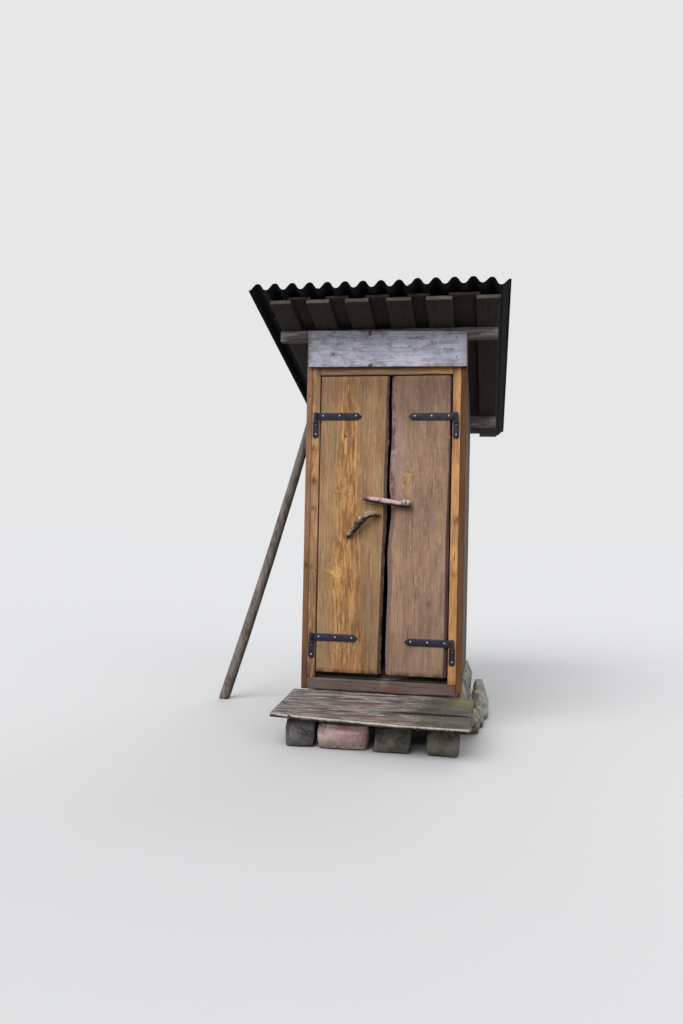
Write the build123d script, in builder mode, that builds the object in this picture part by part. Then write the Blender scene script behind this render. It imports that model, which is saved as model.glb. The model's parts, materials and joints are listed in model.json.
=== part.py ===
from build123d import *
from math import cos, radians, sin, tan
import os

os.makedirs("parts", exist_ok=True)

# A wooden outhouse with a shed roof, millimetres. The origin is on the ground under the
# middle of the doorway, in the plane of the jambs' front faces. +X is to the right seen from
# the front, +Y runs into the hut and +Z is up.

# Front opening and the frame around it
opening_width = 746
opening_top = 1975
jamb_width = 46
jamb_depth = 50
corner_board_width = 33
corner_board_thickness = 22
head_height = 90

# Hut
hut_depth = 1290
sill_bottom = 197
sill_height = 65
timber = 60
rail_thickness = 40
side_board_thickness = 21
back_board_thickness = 20
wall_board_width = 141
wall_board_gap = 2
floor_thickness = 24
floor_board_width = 160
floor_board_gap = 3
mid_rail_height = 1200
joint_clearance = 1

# Foundation: field stones under the sills as (left, right, front) at the front, and lower rubble
# on the right, its corner stone as (width, front, back, height)
stone_gap = 14
seat_gap = 0.3
front_stones = [(-419, -250, -10), (-120, 110, -24), (250, 419, -10)]
front_stone_back = 150
front_stone_batter = 26
stone_foot_batter = 9
step_stone_batter = 9
rear_stone_shares = (1.1, 0.9, 1.2, 1)
rear_stone_inside = 130
rear_stone_outside = 45
side_stone_shares = (1.15, 0.9, 1.2, 1, 1.05)
side_stone_inside = 73
left_stone_reaches = (40, 75, 30, 60, 45)
right_stone_reach = 48
rubble_corner = (140, -40, 98, 158)
rubble_start = 110
rubble_shares = (1, 1.3, 0.9, 1.2, 1)
rubble_heights = (118, 150, 104, 138, 110)
rubble_widths = (92, 118, 84, 104, 88)

# Roof
roof_pitch = 15.5
head_to_beam = 107
front_beam_height = 63
rear_beam_height = 60
beam_length = 1228
front_eave = 280
rear_eave = 310
sheet_front_lap = 69
sheet_back_lap = 51
lower_deck_thickness = 25
upper_deck_thickness = 18
lower_deck_boards = [(-545, 116), (-340, 126), (-130, 129), (93, 136), (306, 139), (560, 126)]
upper_deck_lap = 22

# Corrugated bitumen sheet: equal arcs at troughs and crests, joined by straight flanks. The
# free edge on the right sags from the last trough that the deck holds up.
sheet_left = -706
wave_length = 95
wave_height = 38
flank_angle = 55
sheet_thickness = 3
left_sheet_half_waves = 20
right_sheet_half_waves = 11
lapped_half_waves = 2
sheet_clearance = 0.3
sag_trough = 8
sag_angle = 9

# Sign board, hung a little crooked: its corners as (x, height above the opening)
sign_corners = [(-440, 46), (449, 38), (445, 232), (-448, 253)]
sign_thickness = 24

# Door leaves: one live-edged plank each. An edge is a row of (height, x) on the leaf's back
# face, and the waney bevel narrows the front face by the third value.
leaf_thickness = 28
leaf_proud = 2
leaf_top_gap = 6
leaf_bottom_gap = 37
leaf_side_gap = 5
left_free_edge = [
    (0, 1, 18),
    (0.11, 2, 18),
    (0.225, 6, 17),
    (0.33, 10, 17),
    (0.43, 14, 18),
    (0.51, 19, 19),
    (0.61, 19, 20),
    (0.69, 17, 17),
    (0.775, 24, 19),
    (0.875, 22, 17),
    (1, 23, 12),
]
right_free_edge = [
    (0, 26, 20),
    (0.11, 22, 27),
    (0.225, 26, 27),
    (0.33, 27, 30),
    (0.42, 24, 25),
    (0.49, 34, 28),
    (0.55, 40, 26),
    (0.62, 29, 31),
    (0.69, 28, 30),
    (0.775, 34, 36),
    (0.875, 33, 26),
    (1, 32, 25),
]
right_hinge_wane = [(0, 22), (0.2, 17), (0.45, 19), (0.65, 11), (0.85, 9), (1, 12)]
ledge_width = 90
ledge_thickness = 22
ledge_inset = 55

# Strap hinges: a rolled eye on each strap hangs on the pin of a plate on the jamb
strap_heights = {"left": (1742, 495), "right": (1741, 489)}
strap_reach = 243
strap_width = 40
strap_thickness = 4
strap_point = 22
eye_slit = 1.2
pin_radius = 7
pin_clearance = 0.3
pin_outboard = 22
plate_width = 34
plate_length = 93
plate_thickness = 4
plate_corner = 12
plate_drop = 8
lug_height = 20
pin_tip = 3

# Latch stick through stations of (x, z, radius), its nail, and the crooked handle through
# stations of (x, z, distance off the leaf, radius)
latch_nail_x = 119
latch_stations = [
    (-108, 1280, 8),
    (-92, 1279, 13),
    (-40, 1273, 15.5),
    (30, 1263, 16.5),
    (88, 1254, 16),
    (latch_nail_x, 1254, 20),
    (141, 1254, 22),
    (158, 1250, 15),
]
latch_stand_off = 29
nail_radius = 3
nail_head_radius = 7
nail_head_thickness = 3
nail_head_clearance = 1
nail_depth = 22
handle_stations = [
    (-17, 1193, 17, 16),
    (-45, 1197, 34, 17),
    (-76, 1195, 45, 20),
    (-104, 1173, 47, 21),
    (-126, 1148, 44, 20),
    (-148, 1121, 34, 18),
    (-173, 1092, 22, 15),
    (-201, 1060, 10, 10),
]
branch_sides = 14

# Step: three boards on bearers, sloping a little to the front, the front edge as (x, y) and the
# joints as (x, y, gap)
step_slope = 2
step_board_thickness = 22
step_left = -492
step_right = 521
step_front_edge = [(step_left, -524), (-215, -562), (180, -598), (step_right, -602)]
step_rear_joint = [(step_left, -84, 1), (-60, -98, 2), (step_right, -130, 2)]
step_front_joint = [(step_left, -352, 1), (60, -366, 2), (step_right, -367, 19)]
bearer_width = 60
bearer_height = 40
bearer_length = 300
bearer_inset = 38
bearer_places = (-300, 365)
front_row = (-490, -350)
rear_row = (-300, -60)
rear_stone_width = 190
grey_left = -430
grey_width = 168
pink_width = 274
pink_drop = 24
dark_width = 243
dark_drop = 34
dark_gap = 35
last_width = 182

# Pole that props the left wall: its foot, its top and its thickness
prop_depth = 500
prop_foot_x = -1069
prop_top_height = 2005
prop_foot_radius = 36
prop_top_radius = 29
prop_bow = 14

# Places that follow from the sizes above
step_height = sill_bottom - seat_gap
step_back = -seat_gap
half_opening = opening_width / 2
frame_half = half_opening + jamb_width
hut_half = frame_half + side_board_thickness
sill_top = sill_bottom + sill_height
rear_frame = hut_depth - back_board_thickness
front_beam_bottom = opening_top + head_height + head_to_beam
deck_height = front_beam_bottom + front_beam_height
deck_front = -front_eave
deck_back = hut_depth + rear_eave
sheet_front = deck_front - sheet_front_lap
sheet_back = deck_back + sheet_back_lap
leaf_front = -leaf_proud
leaf_back = leaf_front + leaf_thickness
leaf_bottom = sill_top + leaf_bottom_gap
leaf_top = opening_top - leaf_top_gap
leaf_height = leaf_top - leaf_bottom
leaf_edge = half_opening - leaf_side_gap
eye_bore = pin_radius + pin_clearance
eye_radius = eye_bore + strap_thickness
pin_x = half_opening + pin_outboard
pin_y = leaf_front - eye_radius
latch_y = leaf_front - latch_stand_off


def deck_z(y):
    """Height of the deck's underside at a place y along the hut."""
    return deck_height - y * tan(radians(roof_pitch))


rear_beam_bottom = deck_z(rear_frame) - rear_beam_height

# Local x runs across the roof, local y down its slope to the back, and the normal is outward
roof_plane = Plane(
    origin=(0, 0, deck_height),
    x_dir=(1, 0, 0),
    z_dir=(0, sin(radians(roof_pitch)), cos(radians(roof_pitch))),
)
# The same for the top of the step, which falls to the front
step_plane = Plane(
    origin=(0, 0, step_height),
    x_dir=(1, 0, 0),
    z_dir=(0, -sin(radians(step_slope)), cos(radians(step_slope))),
)


def save(piece, label):
    piece.label = label
    export_step(piece, f"parts/{label}.step")


def box(x, y, z):
    """A squared timber between two places on each axis."""
    with BuildPart() as timber_box:
        with BuildSketch(Plane.XY.offset(z[0])):
            Polygon((x[0], y[0]), (x[1], y[0]), (x[1], y[1]), (x[0], y[1]), align=None)
        extrude(amount=z[1] - z[0])
    return timber_box.part


def stone_outline(x, y, corner, turn):
    """Eight corners between two places on X and Y, with a flat on each side."""
    width, depth = x[1] - x[0], y[1] - y[0]
    corners = [
        (corner, 0),
        (1 - 0.7 * corner, 0),
        (1, 0.8 * corner),
        (1, 1 - corner),
        (1 - 1.2 * corner, 1),
        (0.8 * corner, 1),
        (0, 1 - 0.7 * corner),
        (0, 1.2 * corner),
    ]
    if turn % 2:
        corners = [(1 - across, along) for across, along in reversed(corners)]
    return [(x[0] + width * across, y[0] + depth * along) for across, along in corners]


def field_stone(x, y, height, turn=0, corner=0.28, batter=22):
    """A stone on the ground: its foot and its shoulders slope in from a belly of full width."""
    foot, shoulder = 0.3 * height, 0.6 * height
    outline = stone_outline(x, y, corner, turn)
    with BuildPart() as stone:
        with BuildSketch(Plane.XY.offset(foot)):
            Polygon(*outline, align=None)
        extrude(amount=shoulder - foot)
        extrude(stone.faces().sort_by(Axis.Z)[0], amount=foot, taper=stone_foot_batter)
        extrude(stone.faces().sort_by(Axis.Z)[-1], amount=height - shoulder, taper=batter)
    return stone.part


def sites(start, end, shares, gap):
    """Places in a row between start and end, in proportion to shares, with a gap between them."""
    unit = (end - start - gap * (len(shares) - 1)) / sum(shares)
    row = []
    for share in shares:
        row.append((start, start + share * unit))
        start += share * unit + gap
    return row


def branch(stations):
    """A round branch through stations of (point, radius), as a loft of many-sided sections."""
    points = [Vector(*point) for point, radius in stations]
    with BuildPart() as wood:
        for index, (point, radius) in enumerate(stations):
            ahead = points[min(index + 1, len(points) - 1)]
            behind = points[max(index - 1, 0)]
            with BuildSketch(Plane(origin=point, x_dir=(0, 1, 0), z_dir=ahead - behind)):
                RegularPolygon(radius, side_count=branch_sides)
        loft(ruled=True)
    return wood.part


# Foundation stones: each stands on the ground and carries a sill. The front ones are drawn in
# at the top, behind the step.
with BuildPart() as front_foundation_stones:
    for index, (left, right, front) in enumerate(front_stones):
        add(field_stone((left, right), (front, front_stone_back), sill_bottom, index, batter=front_stone_batter))
save(front_foundation_stones.part, "front_foundation_stones")

rear_stone_front = rear_frame - rear_stone_inside
side_sites = sites(front_stone_back + stone_gap, rear_stone_front - stone_gap, side_stone_shares, stone_gap)
stone_inner = frame_half - side_stone_inside
with BuildPart() as left_foundation_stones:
    for index, (y, reach) in enumerate(zip(side_sites, left_stone_reaches)):
        add(field_stone((-hut_half - reach, -stone_inner), y, sill_bottom, index))
save(left_foundation_stones.part, "left_foundation_stones")

right_stone_outer = hut_half + right_stone_reach
rubble_inner = right_stone_outer + seat_gap
rubble_sites = sites(rubble_start, rear_stone_front - stone_gap, rubble_shares, stone_gap)
with BuildPart() as right_foundation_stones:
    for index, y in enumerate(side_sites):
        add(field_stone((stone_inner, right_stone_outer), y, sill_bottom, index + 1))
    for index, (y, height, width) in enumerate(zip(rubble_sites, rubble_heights, rubble_widths)):
        add(field_stone((rubble_inner, rubble_inner + width), y, height, index))
    width, front, back, height = rubble_corner
    inner = front_stones[-1][1] + seat_gap
    add(field_stone((inner, inner + width), (front, back), height))
save(right_foundation_stones.part, "right_foundation_stones")

rear_sites = sites(-hut_half - stone_gap, hut_half + right_stone_reach, rear_stone_shares, stone_gap)
with BuildPart() as back_foundation_stones:
    for index, x in enumerate(rear_sites):
        add(field_stone(x, (rear_stone_front, hut_depth + rear_stone_outside), sill_bottom, index))
save(back_foundation_stones.part, "back_foundation_stones")

# Sills on the stones, and the floor on the side sills, level with the front and rear ones
sill_z = (sill_bottom, sill_top)
floor_bottom = sill_top - floor_thickness
save(box((-frame_half, frame_half), (0, timber), sill_z), "front_sill")
save(box((-frame_half, frame_half), (rear_frame - timber, rear_frame), sill_z), "rear_sill")

with BuildPart() as side_sills:
    for side in (-1, 1):
        inner, outer = sorted((side * (frame_half - timber), side * frame_half))
        add(box((inner, outer), (timber, rear_frame - timber), (sill_bottom, floor_bottom)))
save(side_sills.part, "side_sills")

floor_start = timber + floor_board_gap
floor_end = rear_frame - timber - floor_board_gap
floor_board_count = int((floor_end - floor_start) / (floor_board_width + floor_board_gap))
with BuildPart() as floor_boards:
    for index in range(floor_board_count):
        start = floor_start + index * (floor_board_width + floor_board_gap)
        last = index == floor_board_count - 1
        end = floor_end if last else start + floor_board_width
        across = (-frame_half + joint_clearance, frame_half - joint_clearance)
        add(box(across, (start, end), (floor_bottom, sill_top)))
save(floor_boards.part, "floor_boards")

# Jambs, head rail, rear posts
jamb_z = (sill_top, front_beam_bottom)
save(box((-frame_half, -half_opening), (0, jamb_depth), jamb_z), "left_jamb")
save(box((half_opening, frame_half), (0, jamb_depth), jamb_z), "right_jamb")
head_z = (opening_top, opening_top + head_height)
save(box((-half_opening, half_opening), (0, jamb_depth), head_z), "head_rail")

# Corner boards beside the jambs, from the stones to the beam, over the ends of the wall boards
with BuildPart() as corner_boards:
    for side in (-1, 1):
        inner, outer = sorted((side * frame_half, side * (frame_half + corner_board_width)))
        add(box((inner, outer), (0, corner_board_thickness), (sill_bottom, front_beam_bottom)))
save(corner_boards.part, "corner_boards")

with BuildPart() as rear_posts:
    for side in (-1, 1):
        inner, outer = sorted((side * (frame_half - timber), side * frame_half))
        add(box((inner, outer), (rear_frame - timber, rear_frame), (sill_top, rear_beam_bottom)))
save(rear_posts.part, "rear_posts")


def beam(front, bottom):
    """A cross beam that runs out past both walls, its top planed to the slope of the deck."""
    back = front + timber
    with BuildPart() as cross_beam:
        with BuildSketch(Plane.YZ.offset(-beam_length / 2)):
            Polygon((front, bottom), (back, bottom), (back, deck_z(back)), (front, deck_z(front)), align=None)
        extrude(amount=beam_length)
    return cross_beam.part


save(beam(0, front_beam_bottom), "front_beam")
save(beam(rear_frame - timber, rear_beam_bottom), "rear_beam")


def side_rails(side):
    """A level rail at mid height and a sloping rail under the deck, inside one side wall."""
    start = frame_half - rail_thickness if side > 0 else -frame_half
    level = mid_rail_height
    front, back = timber, rear_frame - timber
    with BuildPart() as rails:
        with BuildSketch(Plane.YZ.offset(start)):
            Polygon((jamb_depth, level), (back, level), (back, level + timber), (jamb_depth, level + timber), align=None)
            Polygon(
                (front, deck_z(front) - timber),
                (back, deck_z(back) - timber),
                (back, deck_z(back)),
                (front, deck_z(front)),
                align=None,
            )
        extrude(amount=rail_thickness)
    return rails.part


save(side_rails(-1), "left_wall_rails")
save(side_rails(1), "right_wall_rails")
back_rail_x = (-frame_half + timber, frame_half - timber)
back_rail_y = (rear_frame - rail_thickness, rear_frame)
save(box(back_rail_x, back_rail_y, (mid_rail_height, mid_rail_height + timber)), "back_wall_rail")


def side_wall(side):
    """Vertical boards on the outside of the frame, notched round both cross beams."""
    start = frame_half if side > 0 else -hut_half
    pitch = wall_board_width + wall_board_gap
    count = int((rear_frame - corner_board_thickness) / pitch) + 1
    with BuildPart() as boards:
        with BuildSketch(Plane.YZ.offset(start)):
            for index in range(count):
                near = corner_board_thickness + index * pitch
                far = min(near + wall_board_width, rear_frame)
                Polygon((near, sill_bottom), (far, sill_bottom), (far, deck_z(far)), (near, deck_z(near)), align=None)
            for front, bottom in ((0, front_beam_bottom), (rear_frame - timber, rear_beam_bottom)):
                low = bottom - joint_clearance
                near = front - joint_clearance
                far = front + timber + joint_clearance
                Polygon((near, low), (far, low), (far, deck_height), (near, deck_height), align=None, mode=Mode.SUBTRACT)
        extrude(amount=side_board_thickness)
    return boards.part


save(side_wall(-1), "left_wall_boards")
save(side_wall(1), "right_wall_boards")

back_board_count = int(2 * hut_half / (wall_board_width + wall_board_gap)) + 1
back_board_pitch = (2 * hut_half + wall_board_gap) / back_board_count
with BuildPart() as back_wall_boards:
    for index in range(back_board_count):
        start = -hut_half + index * back_board_pitch
        end = start + back_board_pitch - wall_board_gap
        add(box((start, end), (rear_frame, hut_depth), (sill_bottom, deck_z(hut_depth))))
save(back_wall_boards.part, "back_wall_boards")

# Sign board, bare, nailed over the head rail and the front beam
with BuildPart() as sign_board:
    with BuildSketch(Plane.XZ):
        Polygon(*[(x, opening_top + rise) for x, rise in sign_corners], align=None)
    extrude(amount=sign_thickness)
    chamfer(sign_board.faces().sort_by(Axis.Y)[0].edges(), 2)
save(sign_board.part, "sign_board")

# Roof deck: boards down the slope, the upper layer over the gaps of the lower one
slope = cos(radians(roof_pitch))
deck_run = (deck_front / slope, deck_back / slope)


def deck_layer(boards, bottom, thickness):
    """Boards given as (centre, width) across the roof, on the roof plane."""
    with BuildPart() as layer:
        with BuildSketch(roof_plane.offset(bottom)):
            for centre, width in boards:
                left, right = centre - width / 2, centre + width / 2
                Polygon(
                    (left, deck_run[0]),
                    (right, deck_run[0]),
                    (right, deck_run[1]),
                    (left, deck_run[1]),
                    align=None,
                )
        extrude(amount=thickness)
    return layer.part


upper_deck_boards = []
for (left_centre, left_width), (right_centre, right_width) in zip(lower_deck_boards, lower_deck_boards[1:]):
    gap_left = left_centre + left_width / 2 - upper_deck_lap
    gap_right = right_centre - right_width / 2 + upper_deck_lap
    upper_deck_boards.append(((gap_left + gap_right) / 2, gap_right - gap_left))
save(deck_layer(lower_deck_boards, 0, lower_deck_thickness), "deck_lower_boards")
save(deck_layer(upper_deck_boards, lower_deck_thickness, upper_deck_thickness), "deck_upper_boards")

# The two corrugated sheets lie on the deck, each one wave profile run up the slope
deck_top = lower_deck_thickness + upper_deck_thickness
sheet_run = (sheet_back - sheet_front) / slope
trough_line = roof_plane.offset(deck_top)
sheet_foot = trough_line.from_local_coords(Vector(0, sheet_back / slope, 0))
sheet_plane = Plane(origin=sheet_foot, x_dir=(1, 0, 0), z_dir=trough_line.y_dir * -1)
flank = radians(flank_angle)
half_wave = wave_length / 2
wave_radius = (half_wave * sin(flank) - wave_height * cos(flank)) / (2 - 2 * cos(flank))


def sheet_face(start, half_waves, lift, offset, sag):
    """One face of a sheet: (left end, middle, right end) of the arc at each trough and crest."""
    pivot = Vector(start + sag_trough * half_wave, lift + wave_radius)
    arcs = []
    for index in range(half_waves + 1):
        up = 1 if index % 2 else -1
        height = wave_height - wave_radius if index % 2 else wave_radius
        centre = Vector(start + index * half_wave, lift + height)
        first = 0 if index == 0 else -flank_angle
        last = 0 if index == half_waves else flank_angle
        if sag and index == sag_trough:
            last -= sag
        arc = []
        for angle in (first, (first + last) / 2, last):
            spoke = Vector(sin(radians(angle)), up * cos(radians(angle)))
            point = centre + spoke * (wave_radius + up * offset)
            if sag and index > sag_trough:
                point = pivot + (point - pivot).rotate(Axis.Z, -sag)
            arc.append(point)
        arcs.append(arc)
    return arcs


def corrugated_sheet(start, half_waves, lift, sag=0):
    """A sheet of some half waves from its edge, its lowest face lifted off the deck."""
    middle = lift + sheet_thickness / 2
    low = sheet_face(start, half_waves, middle, -sheet_thickness / 2, sag)
    high = sheet_face(start, half_waves, middle, sheet_thickness / 2, sag)
    with BuildPart() as sheet:
        with BuildSketch(sheet_plane):
            with BuildLine():
                for face in (low, high):
                    for arc in face:
                        ThreePointArc(*arc)
                    for arc, following in zip(face, face[1:]):
                        Line(arc[-1], following[0])
                Line(low[0][0], high[0][0])
                Line(low[-1][-1], high[-1][-1])
            make_face()
        extrude(amount=sheet_run)
    return sheet.part


right_sheet_start = sheet_left + (left_sheet_half_waves - lapped_half_waves) * half_wave
lap_lift = (sheet_thickness + sheet_clearance) / cos(flank)
save(corrugated_sheet(sheet_left, left_sheet_half_waves, 0), "roof_sheet_left")
save(corrugated_sheet(right_sheet_start, right_sheet_half_waves, lap_lift, sag_angle), "roof_sheet_right")


# Door leaves
def edge_points(stations, front):
    """The points of a live edge on the back or the front face of a leaf."""
    return [(x + front * wane, leaf_bottom + share * leaf_height) for share, x, wane in stations]


def leaf(hinge_stations, free_stations, side):
    """A plank whose live edges slope from a narrower front face to the back face."""
    with BuildPart() as plank:
        for plane, front in ((Plane.XZ.offset(-leaf_back), 0), (Plane.XZ.offset(-leaf_front), 1)):
            hinge = edge_points(hinge_stations, -side * front)
            free = edge_points(free_stations, side * front)
            with BuildSketch(plane):
                with BuildLine():
                    Line(hinge[0], free[0])
                    Spline(*free)
                    Line(free[-1], hinge[-1])
                    if len(hinge) == 2:
                        Line(hinge[1], hinge[0])
                    else:
                        Spline(*reversed(hinge))
                make_face()
        loft()
    return plank.part


nail_z = next(z for x, z, radius in latch_stations if x == latch_nail_x)
left_hinge_stations = [(0, -leaf_edge, 1), (1, -leaf_edge, 1)]
right_hinge_stations = [(share, leaf_edge, wane) for share, wane in right_hinge_wane]
save(leaf(left_hinge_stations, left_free_edge, -1), "left_leaf")

with BuildPart() as right_leaf:
    add(leaf(right_hinge_stations, right_free_edge, 1))
    with Locations(Plane.XZ.offset(-leaf_front - nail_depth) * Location((latch_nail_x, nail_z, 0))):
        Cylinder(nail_radius, nail_depth, align=(Align.CENTER, Align.CENTER, Align.MIN), mode=Mode.SUBTRACT)
save(right_leaf.part, "right_leaf")

ledge_free_gap = 45


def ledges(side):
    """Two ledges across the back of a leaf, level with its straps."""
    inner, outer = sorted((side * ledge_free_gap, side * (leaf_edge - ledge_inset)))
    name = "right" if side > 0 else "left"
    with BuildPart() as pair:
        for height in strap_heights[name]:
            z = (height - ledge_width / 2, height + ledge_width / 2)
            add(box((inner, outer), (leaf_back, leaf_back + ledge_thickness), z))
    return pair.part


save(ledges(-1), "left_leaf_ledges")
save(ledges(1), "right_leaf_ledges")


# Strap hinges
def straps(side):
    """The two straps of a leaf, each ending in an eye rolled round its pin."""
    name = "right" if side > 0 else "left"
    root, tip = side * pin_x, side * (half_opening - strap_reach)
    shoulder = tip + side * strap_point
    with BuildPart() as pair:
        for height in strap_heights[name]:
            low, high = height - strap_width / 2, height + strap_width / 2
            with BuildSketch(Plane.XZ.offset(-leaf_front)):
                Polygon((root, low), (shoulder, low), (tip, height), (shoulder, high), (root, high), align=None)
            extrude(amount=strap_thickness)
            with BuildSketch(Plane.XY.offset(low)):
                with Locations((side * pin_x, pin_y)):
                    Circle(eye_radius)
            extrude(amount=strap_width)
            with BuildSketch(Plane.XY.offset(low)):
                with Locations((side * pin_x, pin_y)):
                    Circle(eye_bore)
                with Locations((side * (pin_x - eye_radius / 2), leaf_front - strap_thickness - eye_slit / 2)):
                    Rectangle(eye_radius, eye_slit)
            extrude(amount=strap_width, mode=Mode.SUBTRACT)
    return pair.part


def hinge_plates(side):
    """The two plates on a jamb, each with a lug that holds up the pin for its strap."""
    name = "right" if side > 0 else "left"
    with BuildPart() as pair:
        for height in strap_heights[name]:
            eye_bottom = height - strap_width / 2
            plate_top = eye_bottom - plate_drop
            lug_top = eye_bottom - pin_clearance
            with BuildSketch(Plane.XZ) as plate:
                with Locations((side * pin_x, plate_top - plate_length / 2)):
                    Rectangle(plate_width, plate_length)
                fillet(plate.vertices().group_by(Axis.Y)[0], plate_corner)
            extrude(amount=plate_thickness)
            with BuildSketch(Plane.XY.offset(lug_top - lug_height)):
                with Locations((side * pin_x, pin_y)):
                    Circle(eye_radius)
                with Locations((side * pin_x, pin_y / 2)):
                    Rectangle(2 * pin_radius, -pin_y)
            extrude(amount=lug_height)
            with BuildSketch(Plane.XY.offset(lug_top)):
                with Locations((side * pin_x, pin_y)):
                    Circle(pin_radius)
            extrude(amount=pin_clearance + strap_width + pin_tip)
    return pair.part


for side, name in ((-1, "left"), (1, "right")):
    save(straps(side), f"{name}_straps")
    save(hinge_plates(side), f"{name}_hinge_plates")

# Latch: a straight stick that turns on a nail in the right leaf and lies across the left one
latch_points = [((x, latch_y, z), radius) for x, z, radius in latch_stations]
nail_plane = Plane.XZ.offset(-latch_y)
with BuildPart() as latch_stick:
    add(branch(latch_points))
    with Locations(nail_plane * Location((latch_nail_x, nail_z, 0))):
        Cylinder(nail_radius + pin_clearance, 2 * latch_stand_off, mode=Mode.SUBTRACT)
save(latch_stick.part, "latch_stick")

nail_station_radius = next(radius for x, z, radius in latch_stations if x == latch_nail_x)
nail_head_y = latch_y - nail_station_radius - nail_head_clearance
with BuildPart() as latch_nail:
    with BuildSketch(Plane.XZ.offset(-leaf_front - nail_depth)):
        with Locations((latch_nail_x, nail_z)):
            Circle(nail_radius)
    extrude(amount=leaf_front + nail_depth - nail_head_y)
    with BuildSketch(Plane.XZ.offset(-nail_head_y)):
        with Locations((latch_nail_x, nail_z)):
            Circle(nail_head_radius)
    extrude(amount=nail_head_thickness)
save(latch_nail.part, "latch_nail")

# Handle: a crooked branch whose flattened ends lie on the left leaf
handle_points = [((x, leaf_front - stand_off, z), radius) for x, z, stand_off, radius in handle_stations]
with BuildPart() as left_handle:
    add(branch(handle_points))
    split(bisect_by=Plane.XZ.offset(-leaf_front), keep=Keep.TOP)
save(left_handle.part, "left_handle")


# Step: three boards nailed over two bearers, on stones
def step_board(corners):
    with BuildPart() as board:
        with BuildSketch(step_plane):
            Polygon(*corners, align=None)
        extrude(amount=-step_board_thickness)
    return board.part


def joint_side(joint, side):
    """The points of a joint's rear side (1) or front side (-1), from left to right."""
    return [(x, y + side * gap / 2) for x, y, gap in joint]


rear_strip = [(step_right, step_back), (step_left, step_back), *joint_side(step_rear_joint, 1)]
middle_board = [*joint_side(step_rear_joint, -1), *reversed(joint_side(step_front_joint, 1))]
front_board = [*joint_side(step_front_joint, -1), *reversed(step_front_edge)]
with BuildPart() as step_board_back:
    add(step_board(rear_strip))
    add(step_board(middle_board))
save(step_board_back.part, "step_board_back")
save(step_board(front_board), "step_board_front")

with BuildPart() as step_bearers:
    with BuildSketch(step_plane.offset(-step_board_thickness)):
        for x in bearer_places:
            with Locations((x, -bearer_inset - bearer_length / 2)):
                Rectangle(bearer_width, bearer_length)
    extrude(amount=-bearer_height)
save(step_bearers.part, "step_bearers")


def step_stone(x, y, drop, turn=0):
    """A squarish stone whose top lies a drop below the underside of the step boards."""
    incline = radians(step_slope)
    height = step_height + y[1] * tan(incline) - (step_board_thickness + drop) / cos(incline)
    with BuildPart() as stone:
        add(field_stone(x, y, height, turn, corner=0.12, batter=step_stone_batter))
        split(bisect_by=step_plane.offset(-step_board_thickness - drop), keep=Keep.BOTTOM)
    return stone.part


grey_x = (grey_left, grey_left + grey_width)
pink_x = (grey_x[1] + seat_gap, grey_x[1] + seat_gap + pink_width)
dark_x = (pink_x[1] + seat_gap, pink_x[1] + seat_gap + dark_width)
last_x = (dark_x[1] + dark_gap, dark_x[1] + dark_gap + last_width)
save(step_stone(grey_x, front_row, 0), "step_stone_grey")
save(step_stone(pink_x, front_row, pink_drop, 1), "step_stone_pink")
with BuildPart() as step_stones_dark:
    add(step_stone(dark_x, front_row, dark_drop))
    add(step_stone(last_x, front_row, 0, 1))
save(step_stones_dark.part, "step_stones_dark")
with BuildPart() as step_stones_rear:
    for x in bearer_places:
        add(step_stone((x - rear_stone_width / 2, x + rear_stone_width / 2), rear_row, bearer_height))
save(step_stones_rear.part, "step_stones_rear")

# Pole that props the left wall: its foot is cut level and its top is cut to the wall
wall_x = -hut_half
prop_lean = Vector(wall_x - prop_top_radius - prop_foot_x, 0, prop_top_height)
prop_stations = []
for share in (-0.03, 0.2, 0.45, 0.7, 1.03):
    point = Vector(prop_foot_x, prop_depth, 0) + prop_lean * share
    bow = prop_bow * (1 - (2 * share - 1) ** 2)
    radius = prop_foot_radius + share * (prop_top_radius - prop_foot_radius)
    prop_stations.append(((point.X + bow, point.Y, point.Z), radius))
with BuildPart() as prop_pole:
    add(branch(prop_stations))
    split(bisect_by=Plane.XY, keep=Keep.TOP)
    split(bisect_by=Plane.YZ.offset(wall_x), keep=Keep.BOTTOM)
save(prop_pole.part, "prop_pole")
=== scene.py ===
import json
from math import cos, pi, radians, sin
from random import Random

import bmesh
import bpy
from mathutils import Matrix, Vector
from mathutils.bvhtree import BVHTree

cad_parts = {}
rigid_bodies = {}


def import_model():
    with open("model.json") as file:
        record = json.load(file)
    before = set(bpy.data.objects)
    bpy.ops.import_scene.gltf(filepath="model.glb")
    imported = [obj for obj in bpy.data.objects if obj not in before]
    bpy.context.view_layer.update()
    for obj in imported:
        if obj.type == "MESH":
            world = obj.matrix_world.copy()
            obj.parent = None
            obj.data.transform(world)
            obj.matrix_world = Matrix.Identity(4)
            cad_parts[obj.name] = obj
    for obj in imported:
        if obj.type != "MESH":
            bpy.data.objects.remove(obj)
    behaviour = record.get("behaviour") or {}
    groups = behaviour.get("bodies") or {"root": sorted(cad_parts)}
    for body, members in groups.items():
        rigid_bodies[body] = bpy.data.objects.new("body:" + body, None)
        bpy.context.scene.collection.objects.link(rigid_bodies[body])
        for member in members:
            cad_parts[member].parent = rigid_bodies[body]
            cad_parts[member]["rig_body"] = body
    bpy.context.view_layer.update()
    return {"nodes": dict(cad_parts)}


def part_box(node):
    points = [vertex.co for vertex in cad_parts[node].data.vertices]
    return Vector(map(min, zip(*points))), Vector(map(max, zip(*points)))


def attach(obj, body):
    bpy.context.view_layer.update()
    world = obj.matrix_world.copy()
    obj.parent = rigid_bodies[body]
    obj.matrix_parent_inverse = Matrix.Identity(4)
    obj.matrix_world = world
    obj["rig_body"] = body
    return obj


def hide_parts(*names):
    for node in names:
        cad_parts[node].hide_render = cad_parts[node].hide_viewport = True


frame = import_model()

scene = bpy.context.scene

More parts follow.
